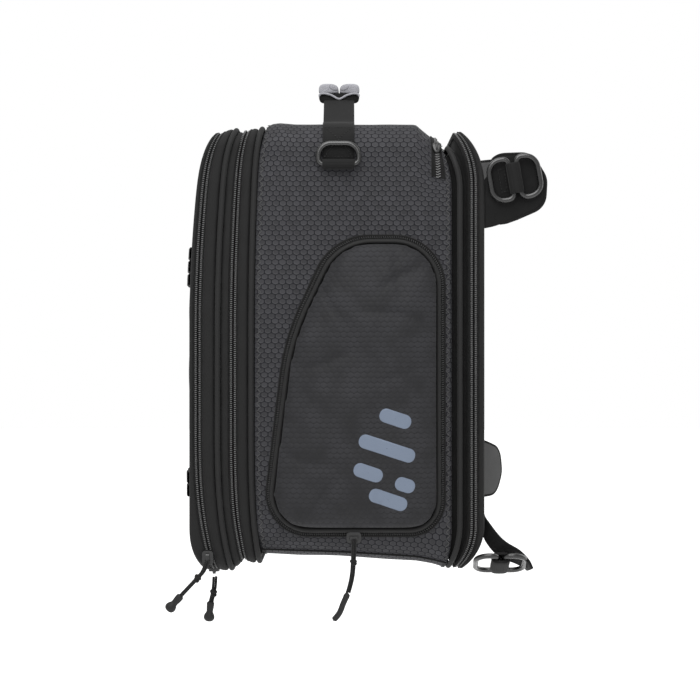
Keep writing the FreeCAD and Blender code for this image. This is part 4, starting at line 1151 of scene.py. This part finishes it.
def make_pocket(word, side):
    rim_body, cover_body = "bag", "pocket_cover_" + word
    tape = smooth_profile([(-0.6, 150.2), (-0.4, 151.3), (0.3, 151.9), (1.2, 151.7), (1.6, 151.5)])
    pocket_ring(f"pocket_tape_outer_{word}", tape, side, rim_body, TAPE, "pocket_fabric",
                ("pocket_rim_" + word,))
    tape = smooth_profile([(2.6, 151.3), (3.2, 152.6), (3.7, 153.3), (4.4, 152.6), (5.0, 151.0),
                           (7.0, 150.6)])
    pocket_ring(f"pocket_tape_inner_{word}", tape, side, rim_body, TAPE, "pocket_fabric")
    line = resample_closed(pocket_line(2.1, 152.1, side), 600)
    spots, along = resample(line, 1.7, True)
    places = []
    for spot, direction in zip(spots, along):
        across = np.cross(direction, (0, side, 0))
        lean = across * 0.95 + direction * 0.3
        places.append((spot, lean, np.cross((0, side, 0), lean), np.array([0, side, 0.0])))
    coil = scatter(f"pocket_coil_{word}", capsule(1.2, 0.5, 0.5, 6, 3), places, COIL)
    finish_piece(coil, rim_body, "zip_tape")
    cord = tube(f"pocket_piping_{word}", pocket_line(5.3, 155.3, side), 1.85, PIPING, closed=True,
                first=(0, 1, 0))
    finish_piece(cord, cover_body, "piping")
    return pocket_cover(word, side)


COVER_DEPTHS = [(6.4, 154.6), (6.6, 157.5), (7.2, 161.5), (10.0, 166.0), (15.0, 169.5)]


def pocket_cover(word, side):
    """Foam-backed cover: an oval dome over the pocket's outline, puffed by a cloth simulation."""
    count = 160
    rows = []
    for inset, out in COVER_DEPTHS:
        rows.append(resample_closed(pocket_line(inset, out, side), count))
    middle = np.array([-96.0, side * 174.5, -34.0])
    for share in (0.86, 0.7, 0.52, 0.34, 0.16, 0.04):
        line = middle + (rows[4] - middle) * np.array([share, 1, share])
        line[:, 1] = side * (169.5 + 5.5 * (1 - share ** 2))
        rows.append(line)
    if side > 0:
        rows = rows[::-1]
    obj = loft(f"pocket_cover_cloth_{word}", rows, range(len(rows)), range(count + 1), POCKET)
    relax_cover(obj, side)
    planar_uv(obj, (0, 2))
    finish_piece(obj, "pocket_cover_" + word, "pocket_fabric", "pocket_cover_" + word)
    return obj


def cover_folds(x, z):
    """Soft dents across the foam and creases that run in from the piping."""
    value = noise.noise(Vector((x, 0, z)) / 44.0) * 4.0 + noise.noise(Vector((x * 1.2, 7,
                                                                              z * 0.9)) / 17.0) * 1.4
    for foot_x, foot_z, angle, long, wide, deep in COVER_CREASES:
        c, s = math.cos(math.radians(angle)), math.sin(math.radians(angle))
        along = (x - foot_x) * c + (z - foot_z) * s
        across = -(x - foot_x) * s + (z - foot_z) * c + 2.5 * math.sin(along / 14)
        share = math.exp(-((along - long / 2) / (long / 2)) ** 4)
        value -= deep * share * math.exp(-(across / wide) ** 2)
    return value


# creases: foot (X, Z), direction in degrees, length, half width and depth
COVER_CREASES = [(-40, 20, 168, 58, 3.8, 2.2), (-40, -12, 196, 50, 3.4, 1.9), (-44, 66, 205, 46, 4.0, 2.0),
                 (-156, -14, 12, 52, 3.8, 2.0), (-164, -78, -14, 56, 4.0, 2.1), (-134, 62, -62, 50, 4.0, 2.0),
                 (-150, -130, 42, 50, 3.8, 2.0), (-84, -136, 96, 36, 3.4, 1.7), (-72, 80, -80, 44, 3.8, 1.9)]


HELD_BELOW = 0.1585  # metres from the middle of the bag: the cover's sewn edge doesn't move
MOST_PUFF = 0.0025  # metres that the cloth simulation may move any point


def relax_cover(obj, side):
    """Remeshes a cover and puffs it a little so it wrinkles as padded cloth does."""
    mesh = obj.data
    work = bmesh.new()
    work.from_mesh(mesh)
    openings = [edge for edge in work.edges if edge.is_boundary]
    bmesh.ops.holes_fill(work, edges=openings, sides=0)
    bmesh.ops.recalc_face_normals(work, faces=work.faces)
    work.to_mesh(mesh)
    work.free()
    remesh = obj.modifiers.new("even", "REMESH")
    remesh.mode = "VOXEL"
    remesh.voxel_size = 4.5 * MM
    apply_modifiers(obj)
    before = np.array([v.co for v in obj.data.vertices])
    group = obj.vertex_groups.new(name="held")
    for vertex in obj.data.vertices:
        if abs(vertex.co.y) < HELD_BELOW:
            group.add([vertex.index], 1.0, "REPLACE")
    cloth = obj.modifiers.new("puff", "CLOTH")
    settings = cloth.settings
    settings.vertex_group_mass = "held"
    settings.use_pressure = True
    settings.uniform_pressure_force = 4.0
    settings.tension_stiffness = settings.compression_stiffness = 8
    settings.bending_stiffness = 1.0
    settings.mass = 0.3
    settings.effector_weights.gravity = 0
    settings.quality = 5
    cloth.point_cache.frame_start, cloth.point_cache.frame_end = 1, 20
    for number in range(1, 21):
        scene.frame_set(number)
    apply_modifiers(obj)
    after = np.array([v.co for v in obj.data.vertices])
    moved = after - before
    length = np.linalg.norm(moved, axis=1)
    limit = np.where(length > MOST_PUFF, MOST_PUFF / np.maximum(length, 1e-9), 1.0)
    after = before + moved * limit[:, None]
    obj.data.vertices.foreach_set("co", after.ravel())
    scene.frame_set(1)
    smooth = obj.modifiers.new("finer", "SUBSURF")
    smooth.levels = smooth.render_levels = 1
    apply_modifiers(obj)
    places = np.array([v.co for v in obj.data.vertices]) / MM
    slack = np.array([cover_folds(p[0], p[2]) for p in places])
    share = ease(np.abs(places[:, 1]), 158, 170)
    places[:, 1] += side * slack * share
    obj.data.vertices.foreach_set("co", (places * MM).ravel())
    obj.data.update()
    obj.data.shade_smooth()


def apply_modifiers(obj):
    """Makes the object's mesh what its modifiers give."""
    bpy.context.view_layer.update()
    evaluated = obj.evaluated_get(bpy.context.evaluated_depsgraph_get())
    mesh = bpy.data.meshes.new_from_object(evaluated)
    old = obj.data
    obj.modifiers.clear()
    obj.data = mesh
    if not mesh.materials:
        for material in old.materials:
            mesh.materials.append(material)
    bpy.data.meshes.remove(old)


def make_film_mark(cover):
    """Slanted rounded bars of reflective film on the near pocket: a plain sign with no lettering."""
    tree = BVHTree.FromObject(cover, bpy.context.evaluated_depsgraph_get())
    bars = [((-84, -49), (-60, -57), 11), ((-100, -69), (-57, -83), 11), ((-104, -91), (-82, -98.5), 11),
            ((-72, -102), (-57, -107), 11), ((-92, -111), (-63, -121), 11)]
    for number, (start, end, wide) in enumerate(bars):
        start, end = np.array(start, float), np.array(end, float)
        along = (end - start) / np.linalg.norm(end - start)
        across = np.array([-along[1], along[0]])
        corners = []
        for point in (start - across * wide / 2, end - across * wide / 2, end + across * wide / 2,
                      start + across * wide / 2):
            corners.append((point[0], point[1], wide / 2 - 0.4))
        edge = round_polygon(corners, 1.2)
        middle = (start + end) / 2
        rows = []
        for share in (1.0, 0.96, 0.8, 0.55, 0.25, 0.02):
            row = []
            for point in middle + (edge - middle) * share:
                hit = tree.ray_cast(Vector((point[0] * MM, -0.3, point[1] * MM)), Vector((0, 1, 0)))[0]
                y = hit.y / MM if hit is not None else -174.0
                row.append((point[0], y - (0.28 if share < 1 else 0.02), point[1]))
            rows.append(row)
        obj = loft(f"film_bar_{number}", rows, range(6), range(len(edge) + 1), FILM)
        finish_piece(obj, "pocket_cover_left", "pocket_fabric")


# ---------------------------------------------------------------- strap base
def make_base():
    piping("rear_piping_cord", "base", -20.9, 0.1, 2.1, "bag", ("rear_piping",))
    profile = smooth_profile([(-27.2, -6.0), (-26, -6.8), (-24, -6.0), (-21, -3.0), (-18.6, -3.6),
                              (-17, -5.2), (-15.4, -4.4), (-14.4, -2.2), (-13.6, -1.4)])
    band("rear_gusset_cloth", "base", profile, "bag", DARK, "band_fabric", ("rear_gusset",), wall=9,
         folds=1.0, seed=7)
    zip_chain("base_zip", "base", -9.9, -14.0, -5.9, "bag", "mounting_base", ("base_zip_upper",),
              ("base_zip_lower",))
    profile = smooth_profile([(-5.8, -0.5), (-5.4, 0.4), (-4.6, 0.05), (-3.6, 0.5), (-2.4, 0.3), (-1.9, -0.5),
                              (-1.5, -1.2)])
    band("base_band_cloth", "base", profile, "mounting_base", BAND, "band_fabric", (), wall=4)
    insets = [1.2, 2.2, 6, 14, 30, 60, 100, 147]
    flat_wall("base_back_cloth", "base", insets, -1.5, -0.7, (1, 5), "mounting_base", BAND, ("base_panel",))
    flat_wall("base_inner_cloth", "base", insets, -6.2, 0.4, (1, 5), "mounting_base", DARK, inner=True)
    edge = round_polygon([(-115, -108, 22), (115, -108, 22), (115, 108, 22), (-115, 108, 22)], 4)
    rows = []
    for share, x in ((1.0, -2.2), (1.0, -0.9), (0.994, -0.25), (0.98, 0.0), (0.93, -0.1), (0.6, -0.1),
                     (0.3, -0.1), (0.02, -0.1)):
        rows.append(np.stack([np.full(len(edge), x), edge[:, 0] * share, edge[:, 1] * share], -1))
    pad = loft("base_pad_rubber", rows, range(len(rows)), running(rows[0], True), RUBBER)
    planar_uv(pad, (1, 2))
    finish_piece(pad, "mounting_base", "base_grip", "base_pad")


# ---------------------------------------------------------------- webbing over the top, handle, rings
def over_top(profile, low, side=0, inner=0.0):
    """Rows of a strip that runs over the bag's top: profile is (place along X, out).  The strip reaches down
    to the height low.  With a side, only that side's part farther out than inner is kept."""
    points, normals = RINGS["main"]
    chosen = points[:, 1] > low
    if side:
        chosen &= points[:, 0] * side > inner
    rows = []
    for x, out in profile:
        place = points[chosen] + normals[chosen] * out
        rows.append(settle("main", x, place[:, 0], place[:, 1]))
    return np.array(rows)


def make_top_zip():
    profile = smooth_profile([(-43.2, 0.2), (-43.0, 1.2), (-42.4, 1.3), (-41.8, 0.7), (-39.4, 0.8),
                              (-37.7, 0.9), (-35.6, 0.8), (-33.2, 0.7), (-32.6, 1.3), (-32.0, 1.2),
                              (-31.8, 0.2)], 2)
    rows = over_top(profile, 137)
    obj = loft("top_zip_tape", rows, [x for x, out in profile], running(rows[5]), TAPE, closed=False)
    finish_piece(obj, "bag", "zip_tape", "top_zip")
    for word, x, side in (("front", -38.5, -1), ("rear", -36.7, 1)):
        line = over_top([(x, 1.1), (x, 0.1)], 138)
        spots, along = resample(line[0], 2.0, False, 0.5 if side > 0 else 0.0)
        places = []
        for spot, direction in zip(spots, along):
            normal = np.cross(direction, (1.0, 0, 0))
            if normal[2] + abs(normal[1]) * 0.01 < 0 and abs(normal[2]) > 0.1:
                normal = -normal
            lean = np.array([0.94 * side, 0, 0]) + direction * 0.34
            places.append((spot, lean, np.cross(normal, lean), normal))
        obj = scatter(f"top_zip_teeth_{word}", capsule(1.2, 0.5, 0.6, 6, 3), places, TEETH)
        finish_piece(obj, "bag", "zip_tape")


STRAP_X = -116.0
STRAP_SECTION = [(-12.5, 0.0), (-12.5, 1.2), (-11.9, 1.8), (-6, 1.9), (0, 1.95), (6, 1.9), (11.9, 1.8),
                 (12.5, 1.2), (12.5, 0.0)]


def zip_slider(name, origin, along, out, body, slot_name, node, scale=1.0):
    """A zip's slider: a waisted shield with a raised bridge over it."""
    origin, along, out = np.array(origin, float), np.array(along, float), np.array(out, float)
    across = np.cross(along, out)
    outline = closed_smooth([(5.0, 1.6), (3.6, 3.3), (0.5, 3.5), (-3.4, 2.5), (-5.0, 1.4), (-5.2, 0),
                             (-5.0, -1.4), (-3.4, -2.5), (0.5, -3.5), (3.6, -3.3), (5.0, -1.6), (5.3, 0)],
                            4) * scale
    rows = []
    for share, rise in ((0.02, 0.0), (0.9, 0.0), (1.0, 0.3), (1.0, 1.1), (0.95, 1.6), (0.85, 1.85),
                        (0.5, 2.0), (0.02, 2.1)):
        rows.append([origin + along * u * share + across * v * share + out * rise for u, v in outline])
    shield = loft(name, rows, range(8), running(rows[2], True), SLIDER)
    finish_piece(shield, body, slot_name, node)
    arch = []
    for u, rise in smooth_profile([(-3.6, 1.6), (-3.2, 3.0), (-1.2, 3.8), (1.6, 3.6), (3.2, 2.8),
                                   (3.6, 1.6)], 4):
        arch.append(origin + along * u * scale + out * rise)
    bridge = tube(name + "_bridge", arch, 0.95 * scale, SLIDER, sides=12, first=tuple(across))
    finish_piece(bridge, body, slot_name)


def make_top_slider():
    """The slider stays on the dropped rear edge, on the near corner's bend."""
    turn = math.radians(38)
    half, _, top, corner = OUTLINES["main"]
    normal = np.array([0, -math.cos(turn), math.sin(turn)])
    place = np.array([0, -half + corner, top - corner]) + normal * (corner + 1.6)
    spot = settle("main", -37.6, place[1], place[2])
    zip_slider("top_zip_slider_shield", spot, (0, math.sin(turn), math.cos(turn)), normal, "top_zip_slider",
               "slider_metal", "top_zip_slider")


def stitch_lines(name, lines, body, slot_name, outward, material, spacing=2.4):
    """Straight stitch runs; outward(point) gives the cloth's normal."""
    places = []
    for line in lines:
        spots, along = resample(line, spacing)
        for spot, direction in zip(spots, along):
            up = np.asarray(outward(spot), float)
            up = up - direction * (up @ direction)
            up /= np.linalg.norm(up)
            places.append((spot, direction * 3.0, np.cross(up, direction), up))
    obj = scatter(name, capsule(0.32, 0.3, 0.26, 6, 3), places, material)
    return finish_piece(obj, body, slot_name)


def make_anchor(word, side):
    profile = [(STRAP_X + x, 0.4 + out) for x, out in STRAP_SECTION]
    rows = over_top(profile, 142, side, 110)
    obj = loft(f"anchor_webbing_{word}", rows, [x for x, out in STRAP_SECTION], running(rows[4]), WEBBING,
               closed=False)
    finish_piece(obj, "bag", "webbing", "strap_anchor_" + word)
    edges = []
    for x in (-10.6, 10.6):
        edges.append(over_top([(STRAP_X + x, 2.45)], 139, side, 113)[0])
    low, high = edges[0], edges[1]
    order = np.argsort(low[:, 2] + np.abs(low[:, 1] - side * 150) * 0.7)
    low, high = low[order], high[order]
    cross = [[low[0], high[0]], [low[-1], high[-1]]]
    span = [k for k in range(len(low)) if 150 < low[k][2] < 176 and abs(low[k][1]) > 140]
    if len(span) > 4:
        weights = np.linspace(0, 1, len(span))[:, None]
        first, second = low[span], high[span]
        cross += [first * (1 - weights) + second * weights, first * weights + second * (1 - weights),
                  [first[0], second[0]], [first[-1], second[-1]]]
    stitch_lines(f"anchor_stitch_{word}", cross, "bag", "webbing",
                 lambda spot: (0, side * 1.0, 0.9 if spot[2] > 168 else 0.05), FAINT_THREAD)
    sleeve(f"anchor_loop_{word}", np.array([STRAP_X, side * 155.4, 145.2]), np.array([1.0, 0, 0]),
           np.array([0, side * 1.0, 0]), 12.6, 4.3, 3.9, "bag")


def sleeve(name, centre, along, out, half_long, half_out, half_up, body, squarer=0.75):
    """A folded webbing loop round a ring's bar."""
    up = np.cross(along, out)
    turns = np.linspace(0, 2 * math.pi, 29)[:-1]
    rows, places = [], []
    for share, scale in ((-1.0, 0.55), (-1.0, 0.86), (-0.985, 0.97), (-0.94, 1.0), (-0.5, 1.02), (0, 1.0),
                         (0.5, 1.02), (0.94, 1.0), (0.985, 0.97), (1.0, 0.86), (1.0, 0.55)):
        row = []
        for a in turns:
            c, s = math.cos(a), math.sin(a)
            c, s = math.copysign(abs(c) ** squarer, c), math.copysign(abs(s) ** squarer, s)
            row.append(centre + along * share * half_long + (out * c * half_out + up * s * half_up) * scale)
        rows.append(row)
        places.append(share * half_long)
    around = np.append(turns, 2 * math.pi) * (half_out + half_up) / 2
    obj = loft(name, rows, places, around, WEBBING)
    return finish_piece(obj, body, "webbing")


def d_ring(name, centre, bar, bow, body, node):
    """A welded D-ring with a straight bar and a round bow."""
    half, deep = 15.9, 16.3
    line = round_polygon([(0, half, 4.5), (deep, half, 10), (deep, -half, 10), (0, -half, 4.5)], 1.2)
    points = [centre + bow * u + bar * v for u, v in line]
    obj = tube(name, points, 2.1, RING, closed=True, sides=18)
    return finish_piece(obj, body, "ring_metal", node)


def rotation(axis, degrees):
    return np.array(Matrix.Rotation(math.radians(degrees), 3, axis))


HANDLE_LINE = [(-115, 177.8), (-108, 178.6), (-98, 183.2), (-84, 191.8), (-70, 200.0), (-58, 205.4),
               (-46, 207.4), (-23, 208.6), (0, 209), (23, 208.6), (46, 207.4), (58, 205.4), (70, 200.0),
               (84, 191.8), (98, 183.2), (108, 178.6), (115, 177.8)]


def make_handle():
    line = np.array(smooth_profile(HANDLE_LINE, 6))
    direction = np.gradient(line, axis=0)
    direction /= np.linalg.norm(direction, axis=1)[:, None]
    normals = np.stack([-direction[:, 1], direction[:, 0]], -1)
    section = STRAP_SECTION + [(x, -out) for x, out in STRAP_SECTION[-2:0:-1]]
    lengths = running(line)
    rows = []
    for x, out in section:
        bow = 0.5 * math.cos(x / 8)
        place = line + normals * (out * 0.62 + bow + 1.1)
        rows.append(np.stack([np.full(len(line), STRAP_X + x), place[:, 0], place[:, 1]], -1))
    middle = len(line) // 2
    across = np.concatenate([[0], np.cumsum([abs(b[0] - a[0]) + abs(b[1] - a[1]) for a, b in zip(
        section, section[1:] + section[:1])])])
    for word, part, sign in (("left", slice(0, middle + 1), -1), ("right", slice(middle, None), 1)):
        half = np.array(rows)[:, part]
        obj = loft(f"handle_webbing_{word}", half, across, lengths[part], WEBBING, closed=False, shut=True)
        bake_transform(obj)
        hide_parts("handle_strap")
    ys = [-55, -55, -54.7, -53.8, -52, -44, -30, -15, 0, 15, 30, 44, 52, 53.8, 54.7, 55, 55]
    shrink = [0.02, 0.6, 0.85, 0.96, 1, 1, 1, 1, 1, 1, 1, 1, 1, 0.96, 0.85, 0.6, 0.02]
    reaches = [y * GRIP_NEAR / 55 if y < 0 else y for y in ys]
    for word, sign in (("front", -1), ("rear", 1)):
        outline = [(16.6, 213.2), (17.0, 216.2), (16.2, 219.2), (13.6, 220.6), (8.0, 220.9), (3.4, 220.1),
                   (1.1, 218.2), (0.5, 215.4), (0.9, 213.4), (4.0, 212.9), (10.0, 212.6), (14.6, 212.5)]
        outline = closed_smooth(outline, 3)
        rows = []
        for y, size in zip(reaches, shrink):
            centre = np.array([8.6, 216.4])
            loop = centre + (outline - centre) * size
            flare = grip_flare(y)
            sag = 0.8 * (y / 55) ** 2 - 0.4 * math.sin(y / 7)
            rows.append(np.stack([STRAP_X + sign * loop[:, 0] * flare, np.full(len(loop), float(y)),
                                  loop[:, 1] - abs(sag) * 0.5], -1))
        leaf = loft(f"grip_leaf_{word}", rows, ys, running(rows[7], True), WRAP)
        finish_piece(leaf, "handle", "grip_fabric", *(("handle_wrap",) if sign < 0 else ()))
    tray = [(15.2, 212.6), (16.6, 211.0), (16.8, 208.0), (15.4, 205.0), (12.0, 204.0), (6.0, 205.4),
            (0, 206.4), (-6.0, 205.4), (-12.0, 204.0), (-15.4, 205.0), (-16.8, 208.0), (-16.6, 211.0),
            (-15.2, 212.6), (-8, 212.9), (0, 212.6), (8, 212.9)]
    tray = closed_smooth(tray, 3)
    rows = []
    for y, size in zip(reaches, shrink):
        centre = np.array([0, 208.6])
        loop = centre + (tray - centre) * size
        flare = grip_flare(y)
        lift = np.clip((212 - loop[:, 1]) / 8, 0, 1) * 4.5 * (1 - (flare - 0.74) / 0.26)
        rows.append(np.stack([STRAP_X + loop[:, 0] * flare, np.full(len(loop), y * 0.985),
                              loop[:, 1] + lift], -1))
    under = loft("grip_tray", rows, ys, running(rows[7], True), WRAP_DARK)
    finish_piece(under, "handle", "grip_fabric")
    lip = [(17.2, 208.8), (16.2, 211.4), (12.0, 211.8), (6.4, 210.4), (0, 207.4), (-6.4, 210.4),
           (-12.0, 211.8), (-16.2, 211.4), (-17.2, 208.8)]
    points = [(STRAP_X + x * 0.96, -GRIP_NEAR - 0.3, z) for x, z in smooth_profile(lip, 4)]
    radii = 0.9 * np.sqrt(np.clip(from_ends(len(points)) / 2.0, 0.04, 1))
    finish_piece(tube("grip_lip_left", points, radii, WRAP, sides=10, first=(0, 1, 0)), "handle",
                 "grip_fabric")
    for word, sign in (("front", -1), ("rear", 1)):
        flap = [(1.0, 215), (2.6, 218.4), (6.2, 219.6), (8.0, 217.4), (5.2, 214.6)]
        loop = closed_smooth(flap, 3)
        centre = np.array(flap).mean(0)
        rows = []
        for share, beyond in ((0.98, 0.4), (1.0, 0.1), (0.9, 0.6), (0.5, 0.8), (0.03, 0.85)):
            ring = centre + (loop - centre) * share
            ends = np.full(len(ring), -GRIP_NEAR - beyond)
            rows.append(np.stack([STRAP_X + sign * ring[:, 0], ends, ring[:, 1]], -1))
        obj = loft(f"grip_flap_left_{word}", rows, range(5), running(rows[0], True), WRAP)
        finish_piece(obj, "handle", "grip_fabric")


GRIP_NEAR = 63.0  # how far the grip reaches at its near end


def grip_flare(y):
    """The wrap spreads open at its near end and is pulled in round the webbing behind it."""
    return 0.74 + 0.26 * float(ease(-y, GRIP_NEAR - 13, GRIP_NEAR - 2))


def closed_smooth(points, per):
    """More points round a closed outline, on a Catmull-Rom line through the ones given."""
    pts = [np.array(p, float) for p in points]
    count = len(pts)
    result = []
    for i in range(count):
        result += curve_stretch(pts[i - 1], pts[i], pts[(i + 1) % count], pts[(i + 2) % count], per)
    return np.array(result)


# ---------------------------------------------------------------- wings of the strap base
WING_ROOT = 19.0
BINDING_FROM = 7.5  # the wing's edge binding starts this far from its root
WING_CORNERS = [(22, -15, 20), (45, -9.5, 14), (50, 12, 16), (42, 33, 13), (14, 37, 14)]


def make_wing(name, side, height, tilt, swing, material):
    upright = rotation("X", 180) if side > 0 else np.eye(3)
    turned = upright @ rotation("Z", -swing)
    leaned = turned @ rotation("Y", side * tilt)
    place = np.array([-0.3, side * 145.5, height])
    body = "wing_" + name
    flip = -side
    corners = [(-1.5, -WING_ROOT * flip, 0)] + [(x, z * flip, r) for x, z, r in WING_CORNERS]
    corners.append((-1.5, WING_ROOT * flip, 0))
    edge = round_polygon(corners, 2.5)

    def spot_on_wing(x, depth, z):
        """Where a point of the flat wing lies once it sways and leans away from its upright root."""
        bend = noise.noise(Vector((x / 17, z / 17, height / 40))) * 1.1
        lean = float(ease(x, -2, 12))
        local = np.array([x, depth + (1.6 * math.sin(x / 16) + bend * lean) - 0.4, z])
        return place + (turned @ local) * (1 - lean) + (leaned @ local) * lean

    centre = np.array([24.0, 8.0 * flip])
    rows = []
    layers = [(0.01, -1.9), (0.35, -2.0), (0.7, -1.8), (0.92, -1.5), (0.99, -1.2), (1.0, 0.0), (0.99, 1.1),
              (0.92, 1.4), (0.7, 1.6), (0.35, 1.8), (0.01, 1.8)]
    for share, depth in layers:
        rows.append([spot_on_wing(x, depth, z) for x, z in centre + (edge - centre) * share])
    places = [share for share, depth in layers]
    obj = loft(f"{body}_cloth", rows, places, range(len(edge) + 1), material)
    flat_uv(obj, place, leaned)
    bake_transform(obj)
    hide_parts(body)
    rim = [spot_on_wing(x, 0, z) for x, z in edge if x >= BINDING_FROM]
    radii = 1.5 * np.sqrt(np.clip(from_ends(len(rim)) / 2.0, 0.05, 1))
    binding = tube(f"{body}_binding", rim, radii, DARK, sides=10)
    finish_piece(binding, body, "wing_fabric")
    middle = -side * 16.0
    bar = leaned @ np.array([0, 0, 1.0])
    bow = leaned @ np.array([1.0, 0, 0])
    out = leaned @ np.array([0, -1.0, 0])
    sleeve(f"{body}_loop", place + leaned @ np.array([25.6, -5.6, middle]), bar, out, 12.0, 4.4, 5.4, body,
           0.62)
    for which, along, direction in (("inner", 22.6, -1), ("outer", 28.6, 1)):
        node = f"wing_ring_{name}_{which}"
        d_ring(node + "_wire", place + leaned @ np.array([along, -5.5, middle]), bar, bow * direction,
               node, node)
    patch = [place + leaned @ np.array([x, -2.7, middle + z]) for x,
             z in ((14, -9), (14, 9), (18.5, 9), (18.5, -9), (14, -9))]
    stitch_lines(f"{body}_stitch", [patch], body, "wing_fabric", lambda spot: out, FAINT_THREAD)


def flat_uv(obj, place, turned):
    """Lays the cloth's coordinates out flat in a turned piece's own plane."""
    mesh = obj.data
    layer = mesh.uv_layers.active
    points = np.array([v.co for v in mesh.vertices]) - place * MM
    local = points @ turned
    corners = np.array([loop.vertex_index for loop in mesh.loops])
    layer.data.foreach_set("uv", local[corners][:, [0, 2]].ravel())


def make_drooping_wing():
    """The near lower wing hangs from its root and twists out flat to its loop."""
    near = [(-1.9, -134, -120.6), (-1.0, -136, -130), (3.4, -139, -137), (10.6, -142, -146.4),
            (16.8, -145, -151.8), (25.7, -149, -157), (32.8, -152, -164.3), (36, -153, -171)]
    far = [(-2, -134, -147), (2, -133.5, -154), (8, -132.5, -161), (16, -131, -166), (24, -129.5, -169),
           (30, -128.5, -172), (34, -128, -175)]
    count = 40
    sides = []
    for line in (near, far):
        line = np.array(line, float)
        flat = np.array(smooth_profile([tuple(p) for p in line], 6))
        lengths = running(flat)
        at = np.linspace(0, lengths[-1], count)
        sides.append(np.array([np.interp(at, lengths, flat[:, k]) for k in range(3)]).T)
    first, second = sides
    across = second - first
    down = np.gradient(first, axis=0) + np.gradient(second, axis=0)
    normals = np.cross(across, down)
    normals /= np.linalg.norm(normals, axis=1)[:, None]
    section = [(0.0, 0.0), (0.02, 0.8), (0.08, 1.1), (0.3, 1.3), (0.5, 1.4), (0.7, 1.3), (0.92, 1.1),
               (0.98, 0.8), (1.0, 0.0), (0.98, -0.8), (0.92, -1.1), (0.7, -1.0), (0.5, -0.9), (0.3, -1.0),
               (0.08, -1.1), (0.02, -0.8)]
    rows = []
    for share, out in section:
        rows.append(first + across * share + normals * out)
    places = [share * 26 for share, out in section] + [0]
    obj = loft("wing_lower_left_cloth", rows, places, running(first), WING, closed=False, shut=True)
    place = np.array([-0.3, -131.0, -142.0])
    turned = rotation("X", 64)
    droop = turned @ np.array([0, -1.0, 0])
    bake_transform(obj)
    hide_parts("wing_lower_left")
    bar, bow = turned @ np.array([0, 0, 1.0]), turned @ np.array([1.0, 0, 0])
    sleeve("wing_lower_left_loop", place + turned @ np.array([11.4, -28.6, 0]), bar, droop, 12.5, 4.6, 7.2,
           "wing_lower_left", 0.62)
    for which, along, direction in (("inner", 8.4, -1), ("outer", 14.4, 1)):
        node = f"wing_ring_lower_left_{which}"
        d_ring(node + "_wire", place + turned @ np.array([along, -28.5, 0]), bar, bow * direction, node, node)


def dress_cad_nodes():
    """Good finishes for the CAD's own hard pieces that stay in view."""
    finishes = {"slider": SLIDER, "board": BOARD}
    for name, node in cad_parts.items():
        for word, material in finishes.items():
            if word in name:
                node.data.materials.clear()
                node.data.materials.append(material)


def make_floor():
    shader = Shader("studio_floor", (0.93, 0.93, 0.93), 0.9)
    place = shader.solid_place()
    shader.set("Base Color", shader.blend(shader.noise(place, 0.01, 2.0), (0.92, 0.92, 0.92), (0.95, 0.95,
                                                                                               0.95)))
    shader.surface.inputs["Emission Color"].default_value = (1, 1, 1, 1)
    shader.surface.inputs["Emission Strength"].default_value = 0.35
    wide = 9000
    points = [(-wide, -wide, -420), (wide, -wide, -420), (wide, wide, -420), (-wide, wide, -420)]
    piece("floor", points, [(0, 1, 2, 3)], shader.material, smooth=False)


# ---------------------------------------------------------------- the whole scene
make_camera()
make_pulls()
make_studio()
make_front_layers()
make_gusset()
make_lid()
make_lash_strips()
make_lid_hinge()
make_shell()
make_floor_and_lining()
near_cover = make_pocket("left", -1)
make_pocket("right", 1)
make_film_mark(near_cover)
make_base()
make_top_zip()
make_top_slider()
make_anchor("left", -1)
make_anchor("right", 1)
for side_word, side_sign in (("left", -1), ("right", 1)):
    lean = math.radians(4)
    d_ring(f"side_ring_{side_word}_wire", np.array([-116, side_sign * 155.8, 145.2]), np.array([1.0, 0, 0]),
           np.array([0, -side_sign * math.sin(lean), math.cos(lean)]), f"side_ring_{side_word}",
           f"side_ring_{side_word}")
make_handle()
make_wing("upper_left", -1, 114.5, 10, 0, WING)
make_wing("upper_right", 1, 134, 14, 0, WING_FAR)
make_wing("lower_right", 1, -118, -10, 45, WING_FAR)
make_drooping_wing()
dress_cad_nodes()
make_floor()
